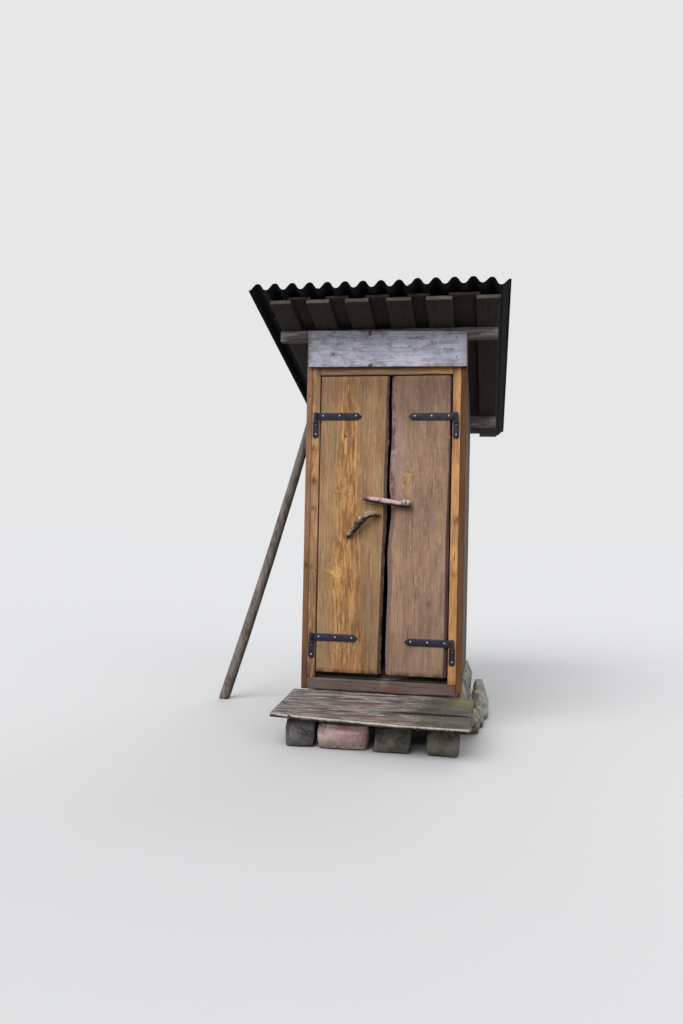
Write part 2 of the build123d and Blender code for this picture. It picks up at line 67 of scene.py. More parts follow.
# Field stones. The hut stands on rough stones picked off the land, dry-laid under the sills,
# with lower rubble leaning on the right-hand row. Each is a closed lump with worn arrises.


class Value:
    """One output of a node. Arithmetic on it adds Math nodes to its tree."""

    def __init__(self, node, output=0):
        self.node, self.tree, self.socket = node, node.id_data, node.outputs[output]

    def __getitem__(self, output):
        return Value(self.node, output)

    def __add__(self, other):
        return calc("ADD", self, other)

    def __sub__(self, other):
        return calc("SUBTRACT", self, other)

    def __rsub__(self, other):
        return calc("SUBTRACT", other, self)

    def __mul__(self, other):
        return calc("MULTIPLY", self, other)

    def __truediv__(self, other):
        return calc("DIVIDE", self, other)

    def __rtruediv__(self, other):
        return calc("DIVIDE", other, self)


def fill(node, inputs):
    """Sets a node's inputs, to plain values or by links from other nodes."""
    for key, value in inputs.items():
        if isinstance(value, Value):
            node.id_data.links.new(value.socket, node.inputs[key])
        else:
            node.inputs[key].default_value = value


def add(tree, kind, inputs={}, output=0, **settings):
    """Adds a node to a tree and gives back one of its outputs."""
    node = tree.nodes.new(kind)
    for key, value in settings.items():
        setattr(node, key, value)
    fill(node, inputs)
    return Value(node, output)


def tree_of(*values):
    """The tree of the first of some values that comes from a node."""
    return next(value.tree for value in values if isinstance(value, Value))


def calc(operation, *values):
    """The result of a Math node, clamped only where the operation does it."""
    return add(tree_of(*values), "ShaderNodeMath", dict(enumerate(values)), operation=operation)


def vector(operation, *values):
    """The result of a Vector Math node, a number for the operations that give one."""
    inputs = {0: values[0], 3: values[1]} if operation == "SCALE" else dict(enumerate(values))
    output = "Value" if operation in ("DOT_PRODUCT", "LENGTH", "DISTANCE") else "Vector"
    return add(tree_of(*values), "ShaderNodeVectorMath", inputs, output, operation=operation)


def rise(value, low, high, bottom=0.0, top=1.0):
    """A smooth step of a value from bottom at low to top at high."""
    inputs = {"Value": value, "From Min": low, "From Max": high, "To Min": bottom, "To Max": top}
    return add(value.tree, "ShaderNodeMapRange", inputs, "Result", interpolation_type="SMOOTHSTEP")


def noise_of(place, scale, detail=3.0, rough=0.55, distortion=0.0):
    """Noise between 0 and 1 at a place."""
    inputs = {"Vector": place, "Scale": scale, "Detail": detail, "Roughness": rough}
    return add(place.tree, "ShaderNodeTexNoise", {**inputs, "Distortion": distortion})


def part(place, axis):
    """One coordinate of a place, or all of them for further picks."""
    return add(place.tree, "ShaderNodeSeparateXYZ", {0: place}, axis)


def linear(colour):
    """A colour of three display values from 0 to 255 as a shader takes it, any other as it is."""
    if not isinstance(colour, tuple) or len(colour) > 3:
        return colour
    shares = [value / 255 for value in colour]
    return (*[s / 12.92 if s <= 0.04045 else ((s + 0.055) / 1.055) ** 2.4 for s in shares], 1)


def mixed(share, under, above, blend="MIX"):
    """Two colours mixed by a share."""
    inputs = {"Factor": share, "A": linear(under), "B": linear(above)}
    settings = {"data_type": "RGBA", "blend_type": blend}
    return add(tree_of(share, under, above), "ShaderNodeMix", inputs, "Result", **settings)


def new_tree(name, inputs, outputs=None):
    """An empty tree. Without outputs of its own it turns one geometry into another.

    An input is named with its first value, or with its kind where it has none."""
    kind = "ShaderNodeTree"
    if outputs is None:
        kind, outputs = "GeometryNodeTree", {"Geometry": "Geometry"}
        inputs = {"Geometry": "Geometry", **inputs, "Material": "Material"}
    tree = bpy.data.node_groups.new(name, kind)
    kinds = {float: "Float", int: "Int", tuple: "Vector"}
    for label, value in inputs.items():
        bare = isinstance(value, str)
        socket = "NodeSocket" + (value if bare else kinds[type(value)])
        entry = tree.interface.new_socket(label, in_out="INPUT", socket_type=socket)
        if not bare:
            entry.default_value = value
    for label, socket in outputs.items():
        tree.interface.new_socket(label, in_out="OUTPUT", socket_type="NodeSocket" + socket)
    source = tree.nodes.new("NodeGroupInput")
    return tree, {label: Value(source, label) for label in inputs}, tree.nodes.new("NodeGroupOutput")


def close_tree(result, geometry, material):
    """Ends a geometry tree in Realize Instances, smooth shading and Set Material."""
    tree = geometry.tree
    real = add(tree, "GeometryNodeRealizeInstances", {"Geometry": geometry})
    smooth = add(tree, "GeometryNodeSetShadeSmooth", {"Geometry": real, "Shade Smooth": True})
    painted = add(tree, "GeometryNodeSetMaterial", {"Geometry": smooth, "Material": material})
    fill(result, {"Geometry": painted})


def eased(place, given):
    """The given geometry with its points blurred."""
    inputs = {"Value": place, "Iterations": given["Rounding"]}
    blurred = add(place.tree, "GeometryNodeBlurAttribute", inputs, "Value", data_type="FLOAT_VECTOR")
    inputs = {"Geometry": given["Geometry"], "Position": blurred}
    return add(place.tree, "GeometryNodeSetPosition", inputs)


def sunk(geometry, depth):
    """A geometry with its surface set inward by a depth."""
    normal = add(depth.tree, "GeometryNodeInputNormal")
    inputs = {"Geometry": geometry, "Offset": vector("SCALE", normal, depth * -1.0)}
    return add(depth.tree, "GeometryNodeSetPosition", inputs)


stone_tree, given, result = new_tree(
    "Rough Stone",
    {"Rounding": 1, "Boss Depth": 0.008, "Boss Size": 0.06, "Grit Depth": 0.002, "Seed": 0.0},
)
place = add(stone_tree, "GeometryNodeInputPosition")
seeded = vector("ADD", place, given["Seed"])
boss = noise_of(seeded, 1.0 / given["Boss Size"], 3.0, 0.6)
inputs = {"Vector": seeded, "Scale": 0.8 / given["Boss Size"]}
scars = add(stone_tree, "ShaderNodeTexVoronoi", inputs, "Distance", feature="SMOOTH_F1")
grit = noise_of(seeded, 160.0, 3.0, 0.6)
depth = given["Boss Depth"] * (boss * 0.9 + scars * 0.6) + given["Grit Depth"] * grit
close_tree(result, sunk(eased(place, given), depth), given["Material"])


def linked(mesh, name):
    """A new object of the scene."""
    piece = bpy.data.objects.new(name, mesh)
    scene.collection.objects.link(piece)
    return piece


def shaped(mesh, name, tree, inputs, voxel=0.0):
    """Runs a geometry tree over a mesh, voxels first if asked, and gives back a plain object."""
    piece = linked(mesh, name)
    if voxel:
        remesh = piece.modifiers.new("Voxels", "REMESH")
        remesh.mode = "VOXEL"
        remesh.voxel_size = voxel
    step = piece.modifiers.new(tree.name, "NODES")
    step.node_group = tree
    for socket in tree.interface.items_tree:
        if socket.in_out == "INPUT" and socket.name in inputs:
            step[socket.identifier] = inputs[socket.name]
    shown = piece.evaluated_get(bpy.context.evaluated_depsgraph_get())
    finished = bpy.data.meshes.new_from_object(shown)
    finished.materials.clear()
    finished.materials.append(inputs["Material"])
    finished.polygons.foreach_set("material_index", [0] * len(finished.polygons))
    piece.modifiers.clear()
    piece.data = finished
    return piece


def merged(node):
    """A copy of a CAD node's mesh with its doubles merged."""
    net = bmesh.new()
    net.from_mesh(frame["nodes"][node].data)
    bmesh.ops.remove_doubles(net, verts=net.verts, dist=1e-5)
    return net


def mesh_of(net, name):
    """Writes a net to a new mesh and frees it."""
    mesh = bpy.data.meshes.new(name)
    net.to_mesh(mesh)
    net.free()
    return mesh


def geometry_of(net):
    return net.verts[:] + net.edges[:] + net.faces[:]


def solids(net):
    """The separate solids of a mesh, as lists of vertices, in the order of their places."""
    waiting = set(net.verts)
    groups = []
    while waiting:
        group = [waiting.pop()]
        for vertex in group:
            for edge in vertex.link_edges:
                other = edge.other_vert(vertex)
                if other in waiting:
                    waiting.discard(other)
                    group.append(other)
        groups.append(group)
    return sorted(groups, key=lambda group: [round(min(v.co[i] for v in group), 4) for i in range(3)])


def joined(pieces, name):
    """Several objects of one material as one."""
    net = bmesh.new()
    for piece in pieces:
        net.from_mesh(piece.data)
    mesh = mesh_of(net, name)
    mesh.materials.append(pieces[0].data.materials[0])
    for piece in pieces:
        bpy.data.objects.remove(piece)
    return linked(mesh, name)


def settle(piece, node=None, body=None):
    """Hands a finished piece to its body, in the place of a CAD node."""
    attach(piece, body or frame["nodes"][node]["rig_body"])
    if node:
        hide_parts(node)
    return piece


def material_of(slot, title=None):
    """A new material for a slot of the record."""
    material = bpy.data.materials.new(title or f"{slot}_finish")
    material["slot"] = slot
    material.use_nodes = True
    return material


def dress(material, colour, roughness, height=None, strength=0.7, distance=0.002, **more):
    """Gives a material its colour, its gloss and the bump of a height."""
    tree = material.node_tree
    inputs = {"Base Color": colour, "Roughness": roughness, "Specular IOR Level": 0.3, **more}
    if height:
        bump = {"Height": height, "Strength": strength, "Distance": distance}
        inputs["Normal"] = add(tree, "ShaderNodeBump", bump)
    fill(tree.nodes["Principled BSDF"], inputs)
    return material


def layers(material, *rows):
    """Lays colours over what a material shows.

    A row is a colour, a share and the masks of it, each a value or (maker, what it is made by)."""
    shader = material.node_tree.nodes["Principled BSDF"]
    for colour, share, *masks in rows:
        for mask in masks:
            share = (mask if isinstance(mask, Value) else mask[0](material, *mask[1:])) * share
        link = shader.inputs["Base Color"].links[0]
        shown = Value(link.from_node, link.from_socket.name)
        fill(shader, {"Base Color": mixed(share, shown, colour)})


def object_place(material):
    return add(material.node_tree, "ShaderNodeTexCoord", output="Object")


def facing(material, axis):
    """One part of the surface's direction."""
    return part(add(material.node_tree, "ShaderNodeNewGeometry", output="Normal"), axis)


speckle, given, result = new_tree(
    "Granite Speckle",
    {"Place": "Vector", "Grain Size": 0.006, "Cloud Size": 0.09},
    {"Pale": "Float", "Dark": "Float", "Cloud": "Float", "Height": "Float"},
)
inputs = {"Vector": given["Place"], "Scale": 1.0 / given["Grain Size"]}
crystals = add(speckle, "ShaderNodeTexVoronoi", inputs, "Color")
lot = add(speckle, "ShaderNodeSeparateColor", {0: crystals})
cloud = noise_of(given["Place"], 1.0 / given["Cloud Size"], 4.0, 0.6, 0.4)
fine = noise_of(given["Place"], 190.0, 4.0, 0.65)
fill(result, {
    "Pale": rise(lot[0], 0.62, 0.9),
    "Dark": rise(lot[1], 0.68, 0.86),
    "Cloud": rise(cloud, 0.42, 0.6),
    "Height": fine + lot[2] * 0.3,
})


def stone(slot, base, cloud, pale, dark, speckled, moss, cloud_size=0.09, grain_size=0.005, title=None):
    """Rough stone with crystals, clouds of a second colour, soil at its foot and some moss."""
    material = material_of(slot, title)
    place = object_place(material)
    inputs = {"Place": place, "Cloud Size": cloud_size, "Grain Size": grain_size}
    grains = add(material.node_tree, "ShaderNodeGroup", inputs, node_tree=speckle)
    colour = mixed(grains["Cloud"], base, cloud)
    colour = mixed(grains["Pale"] * speckled, colour, pale)
    colour = mixed(grains["Dark"] * speckled, colour, dark)
    ragged = part(place, "Z") + noise_of(place, 22.0) * 0.08
    colour = mixed(rise(ragged, 0.09, 0.03, 0.0, 0.8), colour, (62, 54, 42))
    tufts = rise(noise_of(place, 30.0, 5.0, 0.7), 0.5, 0.62)
    green = tufts * rise(facing(material, "Z"), 0.1, 0.9)
    colour = mixed(green * moss, colour, (88, 92, 52))
    return dress(material, colour, 0.9, grains["Height"], 0.7, 0.003)


def cracked(material, size, share, colour=(52, 46, 42)):
    """Lays thin dark seams over a stone, broken off where a second noise is low."""
    place = object_place(material)
    seam = calc("ABSOLUTE", noise_of(place, 0.6 / size, 2.0, 0.5, 0.2) - 0.5)
    rare = rise(noise_of(place, 0.5 / size, 2.0), 0.47, 0.6)
    layers(material, (colour, share, rise(seam, 0.016, 0.003), rare))


field_stone = stone(
    "grey_stone", (168, 164, 152), (126, 124, 114), (192, 188, 178), (84, 84, 78), 0.35, 0.5,
    title="field_stone_finish",
)
cracked(field_stone, 0.08, 0.6)


def lay_stones(node, material, voxel=0.006, chips=10, chip_depth=0.026, **sizes):
    """Turns each solid of a node into a rough stone of its own, its corners knocked off."""
    net = merged(node)
    pieces = []
    for index, group in enumerate(solids(net)):
        lump = net.copy()
        keep = {v.index for v in group}
        lump.verts.ensure_lookup_table()
        bmesh.ops.delete(lump, geom=[v for v in lump.verts if v.index not in keep], context="VERTS")
        dice = Random(100 * len(node) + index)
        for _ in range(chips):
            way = Vector((dice.gauss(0, 1), dice.gauss(0, 1), dice.gauss(0, 0.6))).normalized()
            reach = max(v.co.dot(way) for v in lump.verts)
            cut = way * (reach - dice.uniform(0.2, 1.0) * chip_depth)
            whole = geometry_of(lump)
            bmesh.ops.bisect_plane(lump, geom=whole, plane_co=cut, plane_no=way, clear_outer=True)
            bmesh.ops.holes_fill(lump, edges=[edge for edge in lump.edges if edge.is_boundary], sides=0)
        name = f"{node}_{index}"
        values = {"Boss Depth": 0.009, "Boss Size": 0.06, "Seed": index * 3.7 + len(node), **sizes}
        values["Material"] = material
        pieces.append(shaped(mesh_of(lump, name), name, stone_tree, values, voxel))
    net.free()
    settle(joined(pieces, f"{node}_rough"), node)


for side in ("front", "left", "right", "back"):
    lay_stones(f"{side}_foundation_stones", field_stone)

# Sawn timber. Sills, floor, frame and boards are rough-sawn softwood, grey or brown with age,
# with worn arrises, open grain, knots and drying checks. Each piece keeps its sawn size.

timber_tree, given, result = new_tree(
    "Worn Timber",
    {"Grain": (0, 0, 1), "Ridge Depth": 0.0008, "Ridge Width": 0.006, "Wear": 0.002, "Bow": 0.001,
     "Seed": 0.0},
)
place = add(timber_tree, "GeometryNodeInputPosition")
stretch = vector("SCALE", given["Grain"], vector("DOT_PRODUCT", place, given["Grain"]) * 0.96)
stretched = vector("ADD", vector("SUBTRACT", place, stretch), given["Seed"])
seeded = vector("ADD", place, given["Seed"])
ridges = noise_of(stretched, 1.0 / given["Ridge Width"], 3.0, 0.6)
chipping = rise(noise_of(seeded, 34.0, 4.0, 0.65), 0.35, 0.8)
arris = add(timber_tree, "GeometryNodeInputNamedAttribute", {"Name": "arris"}, data_type="FLOAT")
depth = given["Ridge Depth"] * ridges + given["Wear"] * arris * chipping
depth = depth + given["Bow"] * noise_of(seeded, 2.2, 1.0)
close_tree(result, sunk(given["Geometry"], depth), given["Material"])

UP, RIGHT, BACK = Vector((0, 0, 1)), Vector((1, 0, 0)), Vector((0, 1, 0))


def sliced(net, axis, spacing):
    """Cuts a net across an axis into even slices."""
    reaches = [vertex.co.dot(axis) for vertex in net.verts]
    low, high = min(reaches), max(reaches)
    count = max(1, round((high - low) / spacing))
    for step in range(1, count):
        cut = axis * (low + (high - low) * step / count)
        bmesh.ops.bisect_plane(net, geom=geometry_of(net), plane_co=cut, plane_no=axis)


def flat_faced(node):
    """A copy of a CAD node's mesh with its flat faces whole."""
    net = merged(node)
    bmesh.ops.dissolve_limit(net, angle_limit=radians(1), verts=net.verts, edges=net.edges)
    net.normal_update()
    return net


def rounded(net, angle, offset, **settings):
    """Eases a net's edges sharper than an angle."""
    sharp = [edge for edge in net.edges if edge.calc_face_angle(0) > radians(angle)]
    bmesh.ops.bevel(net, geom=sharp, offset=offset, segments=2, profile=0.5, affect="EDGES", **settings)


def cut_timber(node, grain, face, along, across, arris=0.002, shuffle=True, shift=0.0):
    """A node's boards with eased arrises, their faces cut into a net, and what the finish needs.

    The attribute timber holds the place along the grain, across the board and into it, and wane
    is 1 or -1 on the sloping faces of a live edge, by its side."""
    net = flat_faced(node)
    wane_layer = net.faces.layers.float.new("wane")
    side = grain.cross(face)
    for f in net.faces:
        lean = f.normal.dot(side)
        if 0.2 < f.normal.dot(face) < 0.95 and abs(lean) > 0.3:
            f[wane_layer] = 1.0 if lean > 0 else -1.0
    rounded(net, 25, arris, offset_type="OFFSET")
    sliced(net, grain, along)
    sliced(net, side, across)
    bmesh.ops.triangulate(net, faces=[face for face in net.faces if len(face.verts) > 4])
    edge_layer = net.verts.layers.float.new("arris")
    tone_layer = net.verts.layers.float.new("tone")
    end_layer = net.verts.layers.float.new("end_grain")
    timber_layer = net.verts.layers.float_vector.new("timber")
    net.normal_update()
    for index, group in enumerate(solids(net)):
        reaches = [[v.co.dot(axis) for v in group] for axis in (side, face)]
        middle_side, middle_face = [(min(reach) + max(reach)) / 2 for reach in reaches]
        tone = (0.37 + 0.618034 * index) % 1 if shuffle else 0.5
        start = shift + (7.3 * tone if shuffle else 0.0)
        for v in group:
            turned = [abs(f.normal.dot(g.normal)) < 0.9 for f in v.link_faces for g in v.link_faces]
            v[edge_layer] = 1.0 if any(turned) else 0.0
            v[tone_layer] = tone
            v[end_layer] = 1.0 if all(abs(f.normal.dot(grain)) > 0.8 for f in v.link_faces) else 0.0
            off_side, off_face = v.co.dot(side) - middle_side, v.co.dot(face) - middle_face
            v[timber_layer] = (v.co.dot(grain) + start, off_side, off_face)
    return mesh_of(net, node)


def timber(node, material, grain, face, along=0.06, across=0.02, ridge=0.0008, wear=0.002, bow=0.001, **cuts):
    """Cuts, wears and settles the boards of one node."""
    mesh = cut_timber(node, grain, face, along, across, **cuts)
    sizes = {"Grain": tuple(grain), "Ridge Depth": ridge, "Wear": wear, "Bow": bow, "Seed": float(len(node))}
    piece = shaped(mesh, f"{node}_worn", timber_tree, {**sizes, "Material": material})
    return settle(piece, node)


figure, given, result = new_tree(
    "Plank Figure",
    {"Timber": "Vector", "Pith Across": 0.0, "Pith Depth": 0.03, "Ring Width": 0.004, "Wander": 0.02,
     "Fibre Width": 0.0025, "Check Amount": 0.5, "Seed": 0.0},
    {label: "Float" for label in ("Rings", "Fibre", "Streak", "Line", "Check", "Height")},
)
parts = part(given["Timber"], 0)
long_way = add(figure, "ShaderNodeCombineXYZ", {0: parts * 0.9, 2: given["Seed"]})
drift = noise_of(long_way, 1.6, 2.0) - 0.5
dive = noise_of(vector("ADD", long_way, (3.1, 5.7, 0.0)), 1.3, 2.0) - 0.5
sideways = parts[1] - given["Pith Across"] - drift * given["Wander"]
deep = parts[2] + given["Pith Depth"] + dive * given["Wander"]
inputs = {0: parts * 0.05 + given["Seed"], 1: parts[1], 2: parts[2]}
squeezed = add(figure, "ShaderNodeCombineXYZ", inputs)
ripple = (noise_of(squeezed, 38.0, 3.0) - 0.5) * 0.012
radius = calc("SQRT", sideways * sideways + deep * deep) + ripple
wave = calc("SINE", radius / given["Ring Width"] * (2 * pi)) * 0.5 + 0.5
rings = calc("POWER", wave, 2.2)
fibre = noise_of(squeezed, 1.0 / given["Fibre Width"], 4.0, 0.7)
slits = noise_of(vector("ADD", squeezed, (1.7, 0.3, 2.9)), 26.0, 2.0)
slit = rise(calc("ABSOLUTE", slits - 0.5), 0.012, 0.004)
rare = rise(noise_of(vector("ADD", given["Timber"], given["Seed"]), 5.0, 2.0), 0.5, 0.62)
check = slit * rare * given["Check Amount"]
fill(result, {
    "Rings": rings,
    "Fibre": fibre,
    "Streak": noise_of(squeezed, 34.0, 3.0, 0.6),
    "Line": noise_of(vector("ADD", squeezed, (5.2, 1.1, 0.4)), 95.0, 3.0, 0.6),
    "Check": check,
    "Height": rings * 0.25 + fibre * 0.8 - check * 1.5,
})

knot, given, result = new_tree(
    "Knot",
    {"Timber": "Vector", "Along": 0.0, "Across": 0.0, "Size": 0.015},
    {"Timber": "Vector", "Core": "Float", "Halo": "Float"},
)
parts = part(given["Timber"], 0)
size = given["Size"]
far_along = parts - given["Along"]
far_across = parts[1] - given["Across"]
long_share = far_along / (size * 3.2)
wide_share = far_across / (size * 2.2)
push = calc("EXPONENT", (long_share * long_share + wide_share * wide_share) * -1.0)
across_square = far_across * far_across
half = size * 0.5
soft = calc("SQRT", across_square + half * half)
bend = far_across / soft * (size * 0.95) * push
inputs = {0: parts, 1: parts[1] - bend, 2: parts[2]}
lumpy = (noise_of(given["Timber"], 90.0, 3.0) - 0.5) * (size * 0.9)
oval = (calc("SQRT", far_along * far_along * 0.56 + across_square) + lumpy) / size
fill(result, {
    "Timber": add(knot, "ShaderNodeCombineXYZ", inputs),
    "Core": rise(oval, 0.75, 0.35),
    "Halo": rise(oval, 1.6, 0.6),
})


def attribute(material, name, output="Fac"):
    return add(material.node_tree, "ShaderNodeAttribute", {}, output, attribute_name=name)


def wood(slot, pale, dark, grey, title=None, greyed=0.5, pith=(0.0, 0.03), ring=0.008, wander=0.03,
         checks=0.3, knots=(), contrast=0.6, lined=0.55, mottle=0.3, tone=0.25, ends=None, seed=0.0,
         heart=None):
    """Sawn wood: rings, streaks and fibres of two colours, a grey skin in patches, knots and checks.

    A knot is (along, across, size, colour), and heart is (pale, dark, mask maker)."""
    material = material_of(slot, title)
    tree = material.node_tree
    place = attribute(material, "timber", "Vector")
    found = []
    for along, across, size, knot_colour in knots:
        inputs = {"Timber": place, "Along": along, "Across": across, "Size": size}
        found.append((add(tree, "ShaderNodeGroup", inputs, node_tree=knot), knot_colour))
        place = found[-1][0]["Timber"]
    inputs = {"Timber": place, "Pith Across": pith[0], "Pith Depth": pith[1], "Ring Width": ring,
              "Wander": wander, "Check Amount": checks, "Seed": seed}
    grain = add(tree, "ShaderNodeGroup", inputs, node_tree=figure)
    colour = mixed(grain["Rings"] * contrast, pale, dark)
    inner = 0.0
    if heart:
        inner = heart[2](material)
        colour = mixed(inner, colour, mixed(grain["Rings"] * (contrast * 1.3), heart[0], heart[1]))
    colour = mixed(rise(grain["Streak"], 0.38, 0.66) * 0.4, colour, dark)
    skin = rise(grain["Streak"] + noise_of(place, 7.0, 4.0, 0.6) * 0.8, 0.62, 1.05)
    colour = mixed(skin * (greyed - inner * (greyed * 0.8)), colour, grey)
    colour = mixed(rise(grain["Line"], 0.54, 0.7, 0.0, lined), colour, dark, "MULTIPLY")
    colour = mixed(rise(grain["Line"], 0.44, 0.32, 0.0, lined / 2), colour, grey)
    colour = mixed(rise(grain["Fibre"], 0.5, 0.78, 0.0, 0.45), colour, dark, "MULTIPLY")
    for eye, knot_colour in found:
        colour = mixed(eye["Halo"] * 0.55, colour, dark)
    for eye, knot_colour in found:
        flecked = mixed(rise(grain["Line"], 0.45, 0.65, 0.0, 0.5), knot_colour, dark)
        colour = mixed(eye["Core"] * 0.9, colour, flecked)
    colour = mixed(grain["Check"], colour, (0.01, 0.007, 0.005, 1))
    if ends:
        colour = mixed(attribute(material, "end_grain"), colour, ends)
    level = attribute(material, "tone") * tone + (1 - tone / 2)
    squat = add(tree, "ShaderNodeMapping", {"Vector": place, "Location": (seed, 0, 0), "Scale": (0.35, 1, 1)})
    patchy = rise(noise_of(squat, 12.0, 4.0, 0.6), 0.32, 0.68, 1 - mottle / 2, 1 + mottle / 2)
    colour = add(tree, "ShaderNodeHueSaturation", {"Value": level * patchy, "Color": colour})
    sheen = rise(grain["Fibre"], 0.3, 0.7, 0.92, 0.76)
    return dress(material, colour, sheen, grain["Height"], 0.6, 0.0015)


def patches(material, size, low, high, stretch=0.2, shift=0.0):
    """A mask of ragged patches, longer along the grain."""
    place = attribute(material, "timber", "Vector")
    inputs = {"Vector": place, "Location": (shift, shift, 0), "Scale": (stretch, 1, 1)}
    place = add(material.node_tree, "ShaderNodeMapping", inputs)
    return rise(noise_of(place, 1 / size, 5.0, 0.68), low, high)


def around(material, middle, reach, ragged=0.3, core=0.55):
    """A mask of a ragged oval about a place of the part."""
    place = object_place(material)
    off = vector("DIVIDE", vector("SUBTRACT", place, middle), reach)
    torn = (noise_of(place, 55.0, 4.0, 0.65) - 0.5) * (2 * ragged)
    return rise(vector("LENGTH", off) + torn, 1.0, core)


def across(material, axis, low, high):
    """A mask that grows from one place to another along an axis."""
    return rise(part(object_place(material), axis), low, high)


sill_timber = wood("sill_timber", (96, 76, 68), (46, 36, 33), (108, 98, 92), checks=0.6, ring=0.01, seed=3.0)
layers(
    sill_timber,
    ((112, 66, 60), 0.4, (patches, 0.05, 0.5, 0.62)),
    ((120, 66, 60), 0.4, (around, (0.06, -0.05, 0.228), (0.1, 0.3, 0.022), 0.6, 0.2)),
    ((134, 128, 104), 0.4, (around, (0.02, -0.05, 0.246), (0.04, 0.3, 0.035), 0.6, 0.1)),
    ((136, 122, 112), 0.35, (attribute, "arris")),
)
timber("front_sill", sill_timber, RIGHT, -BACK, 0.03, 0.01, 0.0015, 0.004, 0.0, shuffle=False)
timber("rear_sill", sill_timber, RIGHT, BACK)
timber("side_sills", sill_timber, BACK, RIGHT)

# Floor boards: rough-sawn softwood, walked grey. They lie across the hut on the side sills, level
# with the front and rear ones.
grey_boards = wood("grey_boards", (158, 140, 120), (108, 90, 72), (140, 132, 122), greyed=0.6, seed=5.0)
timber("floor_boards", grey_boards, RIGHT, UP, 0.08, 0.03)

# Jambs and head rail: newer pine, oiled orange, with brown knots, seen close round the doors. The
# jambs stand on the front sill, and the rail fits between them.
oiled_pine = wood(
    "oiled_pine", (198, 150, 104), (132, 86, 56), (152, 124, 100), pith=(0.004, 0.018), ring=0.013,
    wander=0.06, contrast=0.45, lined=0.7, mottle=0.45, ends=(160, 120, 84), seed=1.0, checks=0.1,
    knots=[
        (1.559, -0.008, 0.022, (96, 54, 32)), (1.378, -0.004, 0.022, (104, 60, 34)),
        (1.217, -0.006, 0.016, (110, 64, 38)), (0.88, -0.004, 0.016, (108, 62, 38)),
        (4.168, 0.01, 0.02, (92, 52, 32)), (3.872, 0.012, 0.024, (88, 50, 30)),
        (3.45, 0.004, 0.014, (100, 58, 36)), (4.62, 0.006, 0.016, (112, 66, 40)),
    ],
)
layers(
    oiled_pine,
    ((74, 52, 28), 0.4, (across, "Z", 1.1, 0.75), (across, "X", 0.1, -0.1)),
    ((236, 166, 96), 0.5, (across, "X", 0.1, 0.3), (patches, 0.03, 0.4, 0.6)),
    ((150, 98, 36), 0.4, (across, "Z", 1.0, 0.7), (across, "X", 0.1, 0.3)),
    # Painted shade on the head rail, under the sign and the roof.
    ((86, 64, 54), 0.3, (across, "Z", 1.95, 1.99)),
    ((64, 44, 42), 0.6, (around, (-0.43, -0.02, 0.22), (0.1, 0.1, 0.24), 0.5, 0.5)),
    ((112, 76, 52), 0.3, (attribute, "arris")),
    ((222, 174, 120), 0.45, (patches, 0.012, 0.52, 0.64, 0.12, 2.0)),
)
timber("left_jamb", oiled_pine, UP, -BACK, 0.04, 0.008, 0.0008, 0.0025, shuffle=False)
timber("right_jamb", oiled_pine, UP, -BACK, 0.04, 0.008, 0.0008, 0.0025, shuffle=False, shift=3.0)
timber("head_rail", oiled_pine, RIGHT, -BACK, 0.04, 0.01, 0.0008, 0.002, shuffle=False, shift=8.0)

# Corner boards: narrower strips of pine over the wall boards' edges, oiled on the left and
# weathered to a greyish mauve on the right.
corner_pine = wood(
    "oiled_pine", (182, 134, 94), (116, 76, 52), (150, 116, 94), "corner_pine_finish", pith=(0.01, 0.02),
    ring=0.013, contrast=0.5, lined=0.6, mottle=0.4, checks=0.1, seed=8.0,
    knots=[(3.6, 0.002, 0.014, (84, 52, 36)), (6.0, 0.0, 0.014, (84, 52, 36))],
)
layers(
    corner_pine,
    ((80, 46, 20), 0.85, (across, "X", -0.1, 0.1)),
    ((74, 52, 28), 0.6, (across, "Z", 1.1, 0.75), (across, "X", 0.1, -0.1)),
    ((60, 44, 40), 0.4, (across, "Z", 0.5, 0.3), (across, "X", 0.1, -0.1)),
    # Painted highlight along the arrises of the right corner board.
    ((176, 154, 148), 0.6, (attribute, "arris"), (across, "X", 0.43, 0.445)),
)
timber("corner_boards", corner_pine, UP, -BACK, 0.04, 0.008, 0.0008, 0.003)

# The rest of the frame: posts, rails and the two cross beams that carry the roof. Posts and rails
# are brown with age indoors, and the beams, which run out past the walls, have weathered grey.
aged_timber = wood("aged_timber", (146, 118, 90), (96, 72, 52), (128, 116, 102), seed=6.0)
timber("rear_posts", aged_timber, UP, BACK)
timber("left_wall_rails", aged_timber, BACK, RIGHT)
timber("right_wall_rails", aged_timber, BACK, RIGHT)
timber("back_wall_rail", aged_timber, RIGHT, BACK)
grey_beam = wood(
    "grey_beam", (164, 156, 150), (104, 94, 90), (150, 145, 142), greyed=0.6, checks=0.6, ring=0.012,
    contrast=0.7, ends=(84, 76, 70), seed=2.0,
)
layers(
    grey_beam,
    ((160, 152, 146), 0.5, (patches, 0.03, 0.56, 0.66, 0.1)),
    ((76, 70, 70), 0.7, (patches, 0.012, 0.5, 0.6, 0.07, 3.0)),
    ((214, 210, 212), 0.7, (patches, 0.012, 0.54, 0.64, 0.07, 6.0)),
)
timber("front_beam", grey_beam, RIGHT, -BACK, 0.03, 0.01, 0.0015, 0.004, shuffle=False)
timber("rear_beam", grey_beam, RIGHT, BACK, shuffle=False)

# Wall boards: rough-sawn softwood, nailed upright on the frame's outside and left to weather to a
# dark greyish brown.
wall_boards = wood(
    "wall_boards", (112, 92, 78), (62, 48, 40), (112, 106, 100), greyed=0.75, checks=0.6, tone=0.4,
    ring=0.012, seed=4.0, knots=[(4.0, 0.02, 0.014, (60, 44, 34)), (6.3, -0.03, 0.016, (60, 44, 34))],
)
for side, face in (("left", RIGHT), ("right", RIGHT), ("back", BACK)):
    timber(f"{side}_wall_boards", wall_boards, UP, face, 0.08, 0.018, 0.0012, 0.003)

